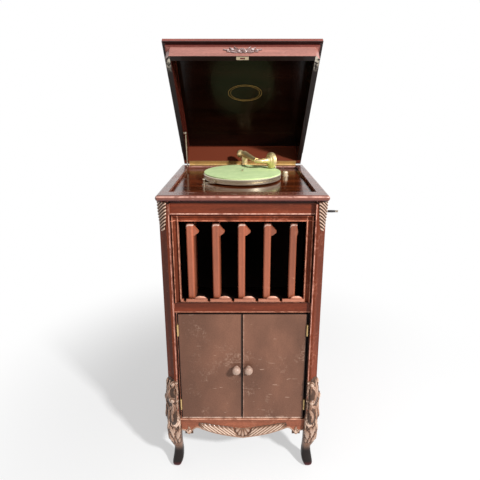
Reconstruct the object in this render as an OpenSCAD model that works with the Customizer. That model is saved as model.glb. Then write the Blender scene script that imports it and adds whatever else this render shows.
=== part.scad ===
// Floor-standing gramophone with a hinged lid, a louvred sound chamber and a record cupboard.
// The origin is on the floor at the middle of the four feet, +X is right and -Y is the front.

/* [Cabinet] */
// Width across the top moulding
case_w = 550; // [500:5:600]
// Depth from the nose of the top moulding to its flat back
case_d = 572; // [530:4:620]
// Height of the top plane above the floor
case_h = 1067; // [1050:1:1100]
// Thickness of the top moulding
nose_t = 20; // [16:1:24]
// Overhang of the top moulding past the sides
side_lap = 4.5; // [3:0.5:8]
// Overhang of the top moulding past the front posts
front_lap = 7; // [4:0.5:10]
// Width of the square corner posts
post_w = 37; // [32:1:42]
// Leg length of the chamfer down the outer corner of each front post
post_chamfer = 27; // [20:1:30]
// Setback of rails and doors behind the face of the front posts
face_setback = 15; // [10:1:20]
// Thickness of rails and doors
front_t = 18; // [14:1:20]
// Thickness of the side panels, floor, shelf and back
panel_t = 12; // [9:1:14]
// Setback of the side panels inside the posts
panel_setback = 4; // [2:0.5:6]

/* [Front levels] */
// Height of the upper edge of the aprons
apron_z = 206; // [195:1:215]
// Height of the top rail
top_rail_h = 47; // [40:1:52]
// Distance between the top rail and the middle rail
grille_h = 314; // [300:1:330]
// Height of the middle rail
mid_rail_h = 38; // [30:1:42]

/* [Legs] */
// Height of the shaped leg below the posts
leg_h = 206; // [195:1:215]
// Radius of the stem socket in each foot
socket_r = 4.76; // [4:0.01:6]
// Depth of the stem socket
socket_h = 38; // [25:1:45]

/* [Grille] */
// Width of the grille moulding
grille_band = 25; // [20:1:28]
// Gap between the lengths of the broken bead
bead_gap = 10; // [6:1:14]
// Thickness of a louvre at its rounded front edge
louvre_t = 24; // [18:1:28]
// Depth of the thick part of a louvre
louvre_d = 60; // [50:1:66]
// Length of the thin lap behind the thick part
louvre_lap = 26; // [20:1:28]
// Angle at which the louvres stand
louvre_turn = 8; // [0:1:15]
// Radius of the louvre pivot pins
louvre_pin_r = 3; // [2:0.1:4]
// Radius from a louvre pivot to its link pin
link_arm = 16; // [12:1:20]

/* [Doors] */
// Gap between the two doors
door_gap = 1.5; // [1:0.1:3]
// Gap between a door and the stile that carries it
hinge_gap = 3.5; // [3.2:0.1:4.5]
// Diameter of a door knob
knob_d = 30; // [22:1:34]
// Distance of the knobs below the upper edge of the doors
knob_drop = 219; // [180:1:260]
// Length of a door hinge
hinge_h = 43; // [36:1:50]

/* [Lid] */
// Angle at which the lid stands open
lid_open = 50; // [45:1:52]
// Setback of the lid behind the nose at each side
lid_side = 13; // [8:1:20]
// Setback of the lid behind the nose at the front
lid_setback = 16; // [8:1:20]
// Height of the lid
lid_h = 98; // [96:1:115]
// Thickness of the side and front rails of the lid
lid_rail = 18; // [16:1:22]
// Thickness of the top board of the lid
lid_board = 12; // [8:1:14]
// Overhang of the lid's crown moulding
crown_lap = 16; // [10:1:18]

/* [Turntable] */
// Radius of the platter
platter_r = 150; // [125:1:152]
// Distance from the spindle to the flat back of the case
spindle_back = 250; // [246:1:256]
// Height of the platter, from its underside to the metal top
platter_h = 20; // [14:1:22]
// Thickness of the felt
felt_t = 4; // [2:0.5:5]
// Radius of the spindle pin
spindle_r = 3.6; // [3:0.1:4]
// Depth of the motor board below the top plane
board_drop = 12; // [8:1:14]
// Thickness of the motor board
board_t = 16; // [12:1:18]

/* [Tone arm] */
// Distance from the spindle back to the arm pivot
arm_back = 190; // [185:1:195]
// Radius of the ball on the arm's tail
ball_r = 17; // [15:0.5:20]
// Radius of the sound box
box_r = 31.5; // [28:0.5:32]
// Thickness of the sound box
box_t = 15; // [12:0.5:17]
// Radius of the bend that carries the sound box
neck_r = 18; // [16:0.5:22]

/* [Crank] */
// Distance from the crank shaft to the grip
crank_arm = 137; // [110:1:150]
// Radius of the crank shaft
crank_r = 6; // [4:0.5:7]
// Distance of the crank shaft below the top plane
crank_drop = 109; // [104:1:114]

/* [Hidden] */

$fn = 48;
lap = 0.01;
run_fit = 0.08;
seat = 0.3;

wood = [0.47, 0.22, 0.18];
wood_dark = [0.35, 0.15, 0.12];
wood_light = [0.62, 0.36, 0.28];
door_brown = [0.42, 0.27, 0.22];
brass = [0.75, 0.62, 0.3];
nickel = [0.75, 0.75, 0.72];
iron = [0.25, 0.24, 0.24];

half_w = case_w / 2 - side_lap;
half_d = case_d / 2 - front_lap;
face_y = -half_d + face_setback;
face_back = face_y + front_t;
case_back = case_d / 2;
nose_bottom = case_h - nose_t;
panel_out = half_w - panel_setback;
panel_in = panel_out - panel_t;
post_in = half_w - post_w;
post_back = half_d - post_w;
well_x = half_w - 30.5;
well_front = -half_d + 46;
well_back = half_d - 20;
board_z = case_h - board_drop;
back_y = half_d - 6;

floor_z = apron_z - 14;
apron_front = -face_y + 4;
top_rail_z = nose_bottom - top_rail_h;
mid_top = top_rail_z - grille_h;
mid_rail_z = mid_top - mid_rail_h;
shelf_z = mid_top - panel_t;
grille_x = post_in - grille_band;
grille_top = top_rail_z - grille_band;
sill_top = mid_top + 2;
sill_depth = 102;
soffit_t = 10;
link_t = 4;

louvre_count = 5;
louvre_pitch = (2 * grille_x + bead_gap) / louvre_count;
louvre_y = face_y + 12 + louvre_d / 2;
louvre_low = sill_top + 1;
louvre_high = grille_top - 8;

door_low = apron_z + 2.5;
door_high = mid_rail_z - 6;
knob_z = door_high - knob_drop;
stile_in = post_in - 6.5;
door_edge = stile_in - hinge_gap;
knuckle_r = 3.2;
knuckle_pin_r = 1.6;
knuckle_x = stile_in - hinge_gap / 2;
knuckle_y = face_y - knuckle_r - seat;
door_hinge_z = [door_low + 63, door_high - 62];
plate_t = 1;

lid_pin_r = 3;
lid_leaf_t = 1.2;
leaf_gap = 0.4;
leaf_depth = 22;
lid_w = case_w - 2 * lid_side;
lid_d = case_d - lid_setback;
hinge_y = case_back + lid_pin_r + 0.5;
hinge_z = case_h + leaf_gap;
lid_back = -(lid_pin_r + 0.5);
lid_low = leaf_gap;
lid_top_z = lid_low + lid_h;
ceiling = lid_top_z - lid_board;
lid_rear_rail = 18;
hinge_len = lid_w - 44;
hinge_cells = 9;

spindle_y = case_back - spindle_back;
platter_z = board_z + 5;
felt_z = platter_z + platter_h;
record_z = felt_z + felt_t;
spindle_top = record_z + 8;
web_z = 8;

pivot_y = spindle_y + arm_back;
arm_z = board_z + 68;
pivot_x = 8.7;
arm_tail = [-17.7, 14];
neck_start = [56, spindle_y + 50.3];
box_turn = 28;
box_z = record_z + 34;
arm_run = neck_start - [pivot_x, pivot_y];
heading = atan2(arm_run[1], arm_run[0]);
neck_centre = neck_start + neck_r * [cos(heading + 90), sin(heading + 90)];
neck_end = neck_centre + neck_r * [cos(box_turn - 90), sin(box_turn - 90)];
bell_len = 36;
neck_len = bell_len + 2;
box_centre = [neck_end[0] + neck_len * cos(box_turn), neck_end[1] + neck_len * sin(box_turn), box_z];
needle_lean = 31;
needle_z = record_z + 0.5;

frame_t = 6;
motor_plate_z = board_z - board_t - frame_t;
motor_left = -70;
motor_right = 165;
motor_front = spindle_y - 56;
motor_back = spindle_y + 159;
pillar_r = 6;
pillar_in = 8;
shaft_r = 5;
barrel_x = 75;
barrel_y = spindle_y + 64;
barrel_r = 46;
barrel_h = 46;
barrel_wall = 3;

crank_y = pivot_y - 78;
crank_z = case_h - crank_drop;
crank_dip = 12.6;
crank_face = panel_out + 34;
grip_r = 13;

function blend(a, b, c, d, t) =
    0.5 * (2 * b + (c - a) * t + (2 * a - 5 * b + 4 * c - d) * t * t + (3 * b - a - 3 * c + d) * t * t * t);
function row_at(rows, s) =
    let (i = min(floor(s), len(rows) - 2),
         before = rows[max(i - 1, 0)], after = rows[min(i + 2, len(rows) - 1)])
    [for (k = [0:len(rows[0]) - 1]) blend(before[k], rows[i][k], rows[i + 1][k], after[k], s - i)];
function round_ring(x0, x1, y0, y1, z, sides, square) =
    [for (i = [0:sides - 1])
        let (a = 360 * (i + 0.5) / sides)
        [(x0 + x1) / 2 + (x1 - x0) / 2 * sign(cos(a)) * pow(abs(cos(a)), 2 / square),
         (y0 + y1) / 2 + (y1 - y0) / 2 * sign(sin(a)) * pow(abs(sin(a)), 2 / square),
         z]];

// A closed solid through rings of points that run anticlockwise seen from its end.
module loft(rings) {
    n = len(rings[0]);
    last = len(rings) - 1;
    sides = [for (r = [0:last - 1], i = [0:n - 1], half = [0, 1])
        let (j = (i + 1) % n)
        half == 0 ? [r * n + i, (r + 1) * n + i, (r + 1) * n + j] : [r * n + i, (r + 1) * n + j, r * n + j]];
    bottom = [for (i = [0:n - 1]) i];
    top = [for (i = [n - 1:-1:0]) last * n + i];
    polyhedron([for (ring = rings, p = ring) p], concat(sides, [bottom, top]));
}

module slab(x0, x1, y0, y1, z0, z1) {
    translate([x0, y0, z0]) cube([x1 - x0, y1 - y0, z1 - z0]);
}

// Lid pieces are drawn shut, about the hinge line, and opened here.
module on_lid() {
    translate([0, hinge_y, hinge_z]) rotate([-lid_open, 0, 0]) children();
}

// Corner posts and shaped legs
// Each row: height, inner and outer distance across, inner and outer distance in depth
leg_rows = [
    [leg_h, post_in - 1, half_w + 5, post_back - 1, half_d + 5],
    [leg_h * 0.85, half_w - 43, half_w + 7.5, half_d - 43, half_d + 7.5],
    [leg_h * 0.65, half_w - 42, half_w + 5, half_d - 42, half_d + 5],
    [leg_h * 0.5, half_w - 41.5, half_w - 3, half_d - 42, half_d - 3],
    [leg_h * 0.37, half_w - 42.5, half_w - 11, half_d - 43, half_d - 11],
    [leg_h * 0.24, half_w - 44.5, half_w - 9.5, half_d - 44, half_d - 8],
    [leg_h * 0.13, half_w - 44, half_w - 6, half_d - 42, half_d + 2],
    [leg_h * 0.06, half_w - 39, half_w - 4.5, half_d - 37, half_d + 5],
    [0, half_w - 34, half_w - 9, half_d - 32, half_d - 2]
];
leg_steps = 20;
foot_x = half_w - 21.5;
foot_y = half_d - 17;

module leg_shape() {
    rings = [for (k = [leg_steps:-1:0])
        let (row = row_at(leg_rows, k / leg_steps * (len(leg_rows) - 1)))
        round_ring(row[1], row[2], row[3], row[4], row[0], 20, 3.2)];
    loft(rings);
}

module post_shape(chamfer) {
    translate([0, 0, leg_h - lap]) linear_extrude(nose_bottom - leg_h + lap)
        polygon([[post_in, post_back], [half_w, post_back], [half_w, half_d - chamfer],
                 [half_w - chamfer, half_d], [post_in, half_d]]);
}

// Leaf-shaped carving that fills the chamfer above the leg
knee_rows = [
    [leg_h + 178, 2, 2],
    [leg_h + 165, 11, 5],
    [leg_h + 140, 15, 11],
    [leg_h + 105, 20, 17],
    [leg_h + 75, 17, 13],
    [leg_h + 45, 20, 15],
    [leg_h + 15, 24, 20],
    [leg_h - 20, 18, 17]
];
module knee_carving() {
    across = half_w - post_chamfer / 2;
    depth = half_d - post_chamfer / 2;
    steps = 14;
    rings = [for (k = [steps:-1:0])
        let (row = row_at(knee_rows, k / steps * (len(knee_rows) - 1)))
        round_ring(-6, row[2], -row[1], row[1], row[0], 12, 2)];
    translate([across, depth, 0]) rotate([0, 0, 45]) loft(rings);
}

// Tapering drop that carries the rope carving under the top
module rope_drop() {
    drop_top = nose_bottom - 5;
    drop_len = 95;
    across = half_w - post_chamfer / 2;
    depth = half_d - post_chamfer / 2;
    rings = [for (k = [6:-1:0])
        let (s = k / 6, w = max(0.8, 15 * sqrt(1 - s * s)))
        round_ring(-5, 0.8 + 3.2 * (1 - s * s), -w, w, drop_top - drop_len * s, 12, 2)];
    translate([across, depth, 0]) rotate([0, 0, 45]) loft(rings);
}

module corner_leg(carved) {
    difference() {
        union() {
            leg_shape();
            post_shape(carved ? post_chamfer : 6);
            if (carved) {
                knee_carving();
                rope_drop();
            }
        }
        translate([foot_x, foot_y, -1]) cylinder(r = socket_r, h = socket_h + 1);
        slab(0, post_in, -face_back, apron_front, apron_z / 2, apron_z);
        slab(panel_in, panel_out, 0, post_back, apron_z / 2, apron_z);
    }
}
module front_left_leg() {
    color(wood_dark) mirror([1, 0, 0]) mirror([0, 1, 0]) corner_leg(true);
}
module front_right_leg() {
    color(wood_dark) mirror([0, 1, 0]) corner_leg(true);
}
module rear_left_leg() {
    color(wood_dark) mirror([1, 0, 0]) corner_leg(false);
}
module rear_right_leg() {
    color(wood_dark) corner_leg(false);
}

// Case panels
module side_panel() {
    slab(panel_in, panel_out, -post_back, post_back, apron_z, nose_bottom);
}
module left_side() {
    color(wood) mirror([1, 0, 0]) side_panel();
}
module right_side() {
    color(wood) difference() {
        side_panel();
        translate([panel_in - 1, crank_y, crank_z]) rotate([0, 90, 0]) cylinder(r = bush_r, h = panel_t + 2);
    }
}
module back_panel() {
    color(wood_dark) slab(-post_in, post_in, back_y - panel_t, back_y, apron_z, nose_bottom);
}
// A board that fills the case from wall to wall and passes between the corner posts
module case_board(front, low, high) {
    slab(-panel_in, panel_in, -post_back, post_back, low, high);
    slab(-post_in, post_in, front, back_y - panel_t, low, high);
}
module cabinet_floor() {
    notch = 8;
    color(wood_dark) difference() {
        case_board(face_back + 2, floor_z, apron_z);
        for (sx = [-1, 1], sy = [-1, 1]) {
            translate([sx * half_w, sy * half_d, floor_z + panel_t / 2])
                cube([2 * (post_w + notch), 2 * (post_w + notch), 3 * panel_t], center = true);
        }
    }
}
module sound_shelf() {
    color(wood_dark) case_board(face_back, shelf_z, mid_top);
}
divider_count = 4;
divider_t = 6;
cell = (2 * post_in - divider_count * divider_t) / (divider_count + 1);
module record_dividers() {
    color(wood) for (i = [0:divider_count - 1]) {
        x = -post_in + (i + 1) * cell + i * divider_t;
        slab(x, x + divider_t, face_back + 40, back_y - panel_t, apron_z, shelf_z);
    }
}
module door_stiles() {
    color(wood) for (s = [-1, 1]) {
        slab(min(s * stile_in, s * post_in), max(s * stile_in, s * post_in), face_y, face_back, apron_z, mid_rail_z);
    }
}

// Top moulding: a half-round nose round the front and sides, flat at the back
module nose_bar(len) {
    r = nose_t / 2;
    rotate([0, 90, 0]) cylinder(r = r, h = len);
}
module top_moulding() {
    r = nose_t / 2;
    z = case_h - r;
    color(wood_light) difference() {
        union() {
            slab(-case_w / 2 + r, case_w / 2 - r, -case_d / 2 + r, case_back, nose_bottom, case_h);
            translate([-case_w / 2 + r, -case_d / 2 + r, z]) nose_bar(case_w - nose_t);
            for (s = [-1, 1]) {
                translate([s * (case_w / 2 - r), case_back, z]) rotate([90, 0, 0])
                    cylinder(r = r, h = case_d - r);
                translate([s * (case_w / 2 - r), -case_d / 2 + r, z]) sphere(r = r);
            }
        }
        slab(-well_x, well_x, well_front, well_back, nose_bottom - 1, case_h + 1);
        slab(-hinge_len / 2, hinge_len / 2, hinge_y - leaf_depth, case_back + 1, case_h - lid_leaf_t, case_h + 1);
    }
}
module motor_board() {
    color(wood_dark) difference() {
        slab(-well_x, well_x, well_front, well_back, board_z - board_t, board_z);
        for (s = [-1, 1]) {
            slab(min(s * post_in, s * half_w), max(s * post_in, s * half_w), post_back, half_d,
                 board_z - board_t - 1, nose_bottom);
        }
        translate([0, spindle_y, board_z - board_t - 1]) cylinder(r = 12, h = board_t + 2);
        translate([pivot_x, pivot_y, board_z - board_t - 1]) cylinder(r = elbow_r + seat, h = board_t + 2);
        translate([speed_x, speed_y, board_z - board_t - 1]) cylinder(r = 4, h = board_t + 2);
    }
}
module top_rail() {
    color(wood) slab(-post_in, post_in, face_y, face_back, top_rail_z, nose_bottom);
}
module middle_rail() {
    color(wood) slab(-post_in, post_in, face_y, face_back, mid_rail_z, mid_top);
}

// Grille moulding: bead, cove and fillet, mitred at the corners
module grille_profile() {
    bead = grille_band * 0.4;
    difference() {
        union() {
            square([grille_band, front_t - 3]);
            translate([bead / 2, front_t - 3]) circle(r = bead / 2);
        }
        translate([bead * 1.55, front_t - 1]) circle(r = bead * 0.6);
        translate([bead * 1.55, front_t - 3 - lap]) square([grille_band, 4]);
    }
}
module grille_run(len) {
    intersection() {
        translate([0, 0, -len / 2]) linear_extrude(len) grille_profile();
        rotate([-90, 0, 0]) linear_extrude(front_t + 4)
            polygon([[-1, -len / 2 - 1], [grille_band + 1, -len / 2 + grille_band + 1],
                     [grille_band + 1, len / 2 - grille_band - 1], [-1, len / 2 + 1]]);
    }
}
module grille_side() {
    height = top_rail_z - mid_top;
    translate([-post_in, face_back, mid_top]) rotate([0, 0, 0]) mirror([0, 1, 0])
        intersection() {
            linear_extrude(height) grille_profile();
            rotate([-90, 0, 0]) mirror([0, 1, 0]) linear_extrude(front_t + 4)
                polygon([[-1, 0], [grille_band, 0], [grille_band, height - grille_band], [-1, height + 1]]);
        }
}
module grille_frame() {
    color(wood) union() {
        grille_side();
        mirror([1, 0, 0]) grille_side();
        translate([0, face_back, top_rail_z]) rotate([0, 90, 0]) mirror([0, 1, 0]) grille_run(2 * post_in);
    }
}

// Sill under the louvres, with a broken bead and a dome beside the foot of each louvre
bead_r = 6;
bead_pitch = 0.957 * louvre_pitch;
bead_shift = -32.5;
dome_shift = 20.4;
dome_w = 45;
dome_h = 14;
dome_t = 9;
module grille_sill() {
    bead_y = face_y + bead_r - 2;
    notches = [for (i = [-2:2]) i * bead_pitch + bead_shift];
    color(wood) difference() {
        union() {
            slab(-post_in, post_in, face_back, face_y + sill_depth, mid_top, sill_top);
            slab(-grille_x, grille_x, face_y + 2, face_back, mid_top, sill_top);
            for (i = [0:louvre_count]) {
                x0 = i == 0 ? -grille_x : notches[i - 1] + bead_gap / 2;
                x1 = i == louvre_count ? grille_x : notches[i] - bead_gap / 2;
                translate([x0, bead_y, sill_top + bead_r - 2]) rotate([0, 90, 0]) cylinder(r = bead_r, h = x1 - x0);
            }
            for (i = [-2:2]) {
                translate([i * bead_pitch + dome_shift, bead_y + 0.5, sill_top + bead_r])
                    scale([dome_w / 2, dome_t / 2, dome_h]) sphere(r = 1);
            }
        }
        for (i = [-2:2]) {
            translate([i * louvre_pitch, louvre_y, mid_top - 1])
                cylinder(r = louvre_pin_r + run_fit, h = 4 + sill_top - mid_top);
        }
        slab(-half_w, half_w, face_y - 10, face_y + 3 * bead_r, sill_top - 30, mid_top);
    }
}
module grille_soffit() {
    color(wood_dark) difference() {
        slab(-post_in, post_in, face_back, face_y + sill_depth, grille_top, grille_top + soffit_t);
        for (i = [-2:2]) {
            translate([i * louvre_pitch, louvre_y, grille_top - 1])
                cylinder(r = louvre_pin_r + run_fit, h = soffit_t + 2);
        }
    }
}

// Louvre, drawn straight ahead about its own pivot, front edge towards -Y
module louvre_section() {
    corner = 6;
    front = -louvre_d / 2;
    back = louvre_d / 2;
    polygon([[-louvre_t / 2, front + corner], [louvre_t / 2, front + corner], [5, back], [2.5, back + 1],
             [2.5, back + louvre_lap], [-2.5, back + louvre_lap], [-2.5, back + 1], [-5, back]]);
    translate([-louvre_t / 2 + corner, front]) square([louvre_t - 2 * corner, 2 * corner]);
    for (s = [-1, 1]) {
        translate([s * (louvre_t / 2 - corner), front + corner]) circle(r = corner);
    }
}
module louvre(index) {
    x = (index - 3) * louvre_pitch;
    beak = index < louvre_count ? 17 : 3;
    height = louvre_high - louvre_low;
    link_z = grille_top + soffit_t + seat;
    translate([x, louvre_y, 0]) rotate([0, 0, -louvre_turn]) {
        color(wood_light) intersection() {
            translate([0, 0, louvre_low]) linear_extrude(height) union() {
                louvre_section();
                translate([louvre_t / 2 - 4, -louvre_d / 2 + 8]) square([2, 6]);
            }
            translate([-louvre_pitch, 0, 0]) rotate([90, 0, 90]) linear_extrude(2 * louvre_pitch)
                louvre_face(height);
        }
        color(wood_light) translate([louvre_t / 2, 16 - louvre_d / 2, louvre_high]) rotate([90, 0, 0])
            linear_extrude(beak_t) louvre_beak(beak);
        color(brass) {
            translate([0, 0, louvre_low - 2]) cylinder(r = louvre_pin_r, h = 4);
            translate([0, 0, louvre_high - 4]) cylinder(r = louvre_pin_r, h = link_z + link_t - louvre_high + 4);
            slab(-louvre_pin_r, louvre_pin_r, 0, link_arm, link_z, link_z + link_t);
            translate([0, link_arm, link_z]) cylinder(r = louvre_pin_r, h = 2 * link_t + 1);
        }
    }
}
// Pointed beak near the top of a louvre, on its right
beak_t = 12;
module louvre_beak(reach) {
    polygon([[-2, -8], [reach, -29], [reach, -34], [reach * 0.3, -44], [-2, -46]]);
}
// Side outline of a louvre: the front corners are rounded off
module louvre_face(height) {
    corner = 12;
    y0 = -louvre_d / 2;
    y1 = louvre_d / 2 + louvre_lap + 1;
    translate([y0 + corner, louvre_low]) square([y1 - y0 - corner, height]);
    translate([y0, louvre_low + corner]) square([2 * corner, height - 2 * corner]);
    for (z = [louvre_low + corner, louvre_high - corner]) {
        translate([y0 + corner, z]) circle(r = corner);
    }
}
module louvre_1() {
    louvre(1);
}
module louvre_2() {
    louvre(2);
}
module louvre_3() {
    louvre(3);
}
module louvre_4() {
    louvre(4);
}
module louvre_5() {
    louvre(5);
}
module louvre_link() {
    z = grille_top + soffit_t + seat + link_t + seat;
    link_x = link_arm * sin(louvre_turn);
    link_y = louvre_y + link_arm * cos(louvre_turn);
    reach = 2 * louvre_pitch + 8;
    color(brass) difference() {
        slab(link_x - reach, link_x + reach, link_y - 7, link_y + 7, z, z + link_t);
        for (i = [-2:2]) {
            translate([link_x + i * louvre_pitch, link_y, z - 1]) cylinder(r = louvre_pin_r + run_fit, h = link_t + 2);
        }
    }
}

// Horn: a wooden flare from the iron elbow to the grille
elbow_r = 26;
elbow_wall = 4;
throat_y = pivot_y - 60;
throat_z = sill_top + 72;
mouth_y = face_y + sill_depth + seat;
function horn_ring(s, grow) =
    let (w = grille_x + 6 - (grille_x + 6 - elbow_r) * sin(90 * s), mouth_mid = (sill_top + grille_top) / 2,
         h = (grille_top - sill_top) / 2 - 2 - ((grille_top - sill_top) / 2 - 2 - elbow_r) * sin(90 * s),
         z = mouth_mid + (throat_z - mouth_mid) * s, y = mouth_y + (throat_y - mouth_y) * s)
    [for (p = round_ring(-w - grow, w + grow, -h - grow, h + grow, 0, 32, 2 + 6 * pow(1 - s, 2)))
        [p[0] + pivot_x * s, y, z + p[1]]];
module horn() {
    steps = 6;
    rings_out = [for (k = [0:steps]) horn_ring(k / steps, 0)];
    rings_in = [for (k = [0:steps])
        let (ring = horn_ring(k / steps, -6 + 2 * k / steps), shift = k == 0 ? -1 : (k == steps ? 1 : 0))
        [for (p = ring) [p[0], p[1] + shift, p[2]]]];
    color(wood_dark) difference() {
        mirror_loft(rings_out);
        mirror_loft(rings_in);
    }
}
// The horn's rings face -Y first, so their order is turned round for the loft
module mirror_loft(rings) {
    loft([for (ring = rings) [for (i = [len(ring) - 1:-1:0]) ring[i]]]);
}
module elbow_ring() {
    difference() {
        circle(r = elbow_r);
        circle(r = elbow_r - elbow_wall);
    }
}
module horn_elbow() {
    bend = 60;
    color(iron) {
        translate([pivot_x, throat_y, throat_z + bend]) rotate([90, 0, 90])
            rotate_extrude(angle = 90, start = -90) translate([bend, 0]) elbow_ring();
        translate([pivot_x, pivot_y, throat_z + bend]) linear_extrude(board_z - throat_z - bend) elbow_ring();
    }
}

// Aprons
apron_rows = [
    [0, 122], [28, 126], [55, 131], [90, 139], [118, 148], [148, 160], [170, 168], [188, 155],
    [200, 139], [213, 154], [226, 158], [234, 158]
];
module front_apron() {
    steps = 44;
    edge = [for (k = [0:steps]) row_at(apron_rows, k / steps * (len(apron_rows) - 1))];
    scale_x = post_in / apron_rows[len(apron_rows) - 1][0];
    left = [for (k = [steps:-1:1]) [-edge[k][0] * scale_x, edge[k][1]]];
    right = [for (p = edge) [p[0] * scale_x, p[1]]];
    color(wood_dark) translate([0, face_back, 0]) rotate([90, 0, 0]) linear_extrude(apron_front + face_back)
        polygon(concat([[-post_in, apron_z]], left, right, [[post_in, apron_z]]));
}
side_apron_h = 48;
module side_aprons() {
    dip = 22;
    steps = 16;
    low = apron_z - side_apron_h;
    color(wood_dark) for (s = [-1, 1]) {
        translate([s > 0 ? panel_in : -panel_out, 0, 0]) rotate([90, 0, 90]) linear_extrude(panel_t)
            polygon(concat(
                [for (k = [0:steps]) let (t = 2 * k / steps - 1) [t * post_back, low + dip * cos(90 * t)]],
                [[post_back, apron_z], [-post_back, apron_z]]));
    }
}

// Doors, butt hinges and knobs, drawn on the right and mirrored
module door() {
    slab(door_gap / 2, door_edge, face_y, face_back, door_low, door_high);
}
module knob() {
    r = knob_d / 2;
    translate([20 + door_gap, face_y, knob_z]) rotate([90, 0, 0]) {
        cylinder(r = r * 0.62, h = 3);
        cylinder(r = r * 0.36, h = 14);
        translate([0, 0, 20]) scale([1, 1, 0.62]) sphere(r = r);
    }
}
module butt_knuckles(z, first) {
    cell_h = hinge_h / 3;
    gap = 0.15;
    for (k = first ? [0, 2] : [1]) {
        translate([knuckle_x, knuckle_y, z - hinge_h / 2 + k * cell_h + gap]) difference() {
            cylinder(r = knuckle_r, h = cell_h - 2 * gap);
            translate([0, 0, -1]) cylinder(r = knuckle_pin_r + run_fit, h = cell_h + 2);
        }
    }
}
module case_door_hinge() {
    for (z = door_hinge_z) {
        cell_h = hinge_h / 3;
        translate([knuckle_x, knuckle_y, z - hinge_h / 2]) cylinder(r = knuckle_pin_r, h = hinge_h);
        for (k = [0, 2]) {
            translate([knuckle_x, knuckle_y, z - hinge_h / 2 + k * cell_h + 0.15])
                cylinder(r = knuckle_r, h = cell_h - 0.3);
            slab(stile_in - plate_t, stile_in, knuckle_y, face_y, z - hinge_h / 2 + k * cell_h + 0.15,
                 z - hinge_h / 2 + (k + 1) * cell_h - 0.15);
        }
        slab(stile_in - plate_t, stile_in, face_y, face_back, z - hinge_h / 2, z + hinge_h / 2);
    }
}
module door_hinge_leaf() {
    for (z = door_hinge_z) {
        cell_h = hinge_h / 3;
        butt_knuckles(z, false);
        difference() {
            slab(door_edge, door_edge + plate_t, knuckle_y, face_y + 2, z - cell_h / 2 + 0.15, z + cell_h / 2 - 0.15);
            translate([knuckle_x, knuckle_y, z - hinge_h]) cylinder(r = knuckle_pin_r + run_fit, h = 2 * hinge_h);
        }
        slab(door_edge, door_edge + plate_t, face_y + 1, face_back, z - hinge_h / 2, z + hinge_h / 2);
    }
}
module left_door() {
    color(door_brown) mirror([1, 0, 0]) door();
}
module right_door() {
    color(door_brown) door();
}
module left_knob() {
    color(wood_light) mirror([1, 0, 0]) knob();
}
module right_knob() {
    color(wood_light) knob();
}
module left_door_hinges() {
    color(brass) mirror([1, 0, 0]) door_hinge_leaf();
}
module right_door_hinges() {
    color(brass) door_hinge_leaf();
}
module case_door_hinges() {
    color(brass) union() {
        case_door_hinge();
        mirror([1, 0, 0]) case_door_hinge();
    }
}

// Lid, drawn shut with the hinge line at its origin
lid_chamfer = 13;
crown_low = ceiling - 34;
crown_top = ceiling - 4;
module lid_frame() {
    half = lid_w / 2;
    front = lid_back - lid_d;
    color(wood) on_lid() difference() {
        slab(-half, half, front, lid_back, lid_low, ceiling);
        for (s = [-1, 1]) {
            translate([0, 0, lid_low - 1]) linear_extrude(crown_low - lid_low + 1)
                polygon([[s * (half + 2), front - 2], [s * (half - lid_chamfer - 2), front - 2],
                    [s * (half + 2), front + lid_chamfer + 2]]);
        }
        slab(-half + lid_rail, half - lid_rail, front + lid_rail, lid_back - lid_rear_rail, lid_low - 1, ceiling + 1);
        slab(-hinge_len / 2, hinge_len / 2, -leaf_depth, lid_back + 1, lid_low - 1, lid_low + lid_leaf_t);
        slab(-keeper_w / 2, keeper_w / 2, front + 2, front + 2 + keeper_d, lid_low - 1, lid_low + keeper_t);
        slab(-8, 8, front + 6, front + 13, lid_low - 1, lid_low + 6);
    }
}
module lid_board_panel() {
    half = lid_w / 2 - 10;
    front = lid_back - lid_d + 10;
    color(wood) on_lid() {
        slab(-half, half, front, lid_back, ceiling, lid_top_z);
    }
}
module crown_step(out, low, high) {
    half = lid_w / 2;
    front = lid_back - lid_d;
    slab(-half - out, half + out, front - 0.75 * out, lid_back, low, high);
}
module lid_crown() {
    half = lid_w / 2;
    front = lid_back - lid_d;
    lip_low = crown_top - 16;
    color(wood_light) on_lid() difference() {
        union() {
            crown_step(0.3 * crown_lap, crown_low, lip_low);
            crown_step(0.7 * crown_lap, lip_low - 4, lip_low);
            crown_step(crown_lap, lip_low, crown_top);
        }
        slab(-half, half, front, lid_back + 1, 0, ceiling + 1);
    }
}
module lid_carving() {
    front = lid_back - lid_d;
    z = lid_low + (crown_low - lid_low) * 0.58;
    color(wood_light) on_lid() translate([0, front, z]) rotate([90, 0, 0]) {
        linear_extrude(3) union() {
            scale([1.5, 1]) circle(r = 15);
            for (s = [-1, 1]) {
                translate([s * 29, -1]) scale([1.7, 1]) circle(r = 10);
                translate([s * 53, 1]) scale([2.4, 1]) circle(r = 6);
            }
        }
    }
}
keeper_w = 42;
keeper_d = 13;
keeper_t = 1.2;
module lock_keeper() {
    front = lid_back - lid_d;
    color(nickel) on_lid() difference() {
        slab(-keeper_w / 2, keeper_w / 2, front + 2, front + 2 + keeper_d, lid_low, lid_low + keeper_t);
        slab(-8, 8, front + 6, front + 13, lid_low - 1, lid_low + keeper_t + 1);
    }
}

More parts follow.
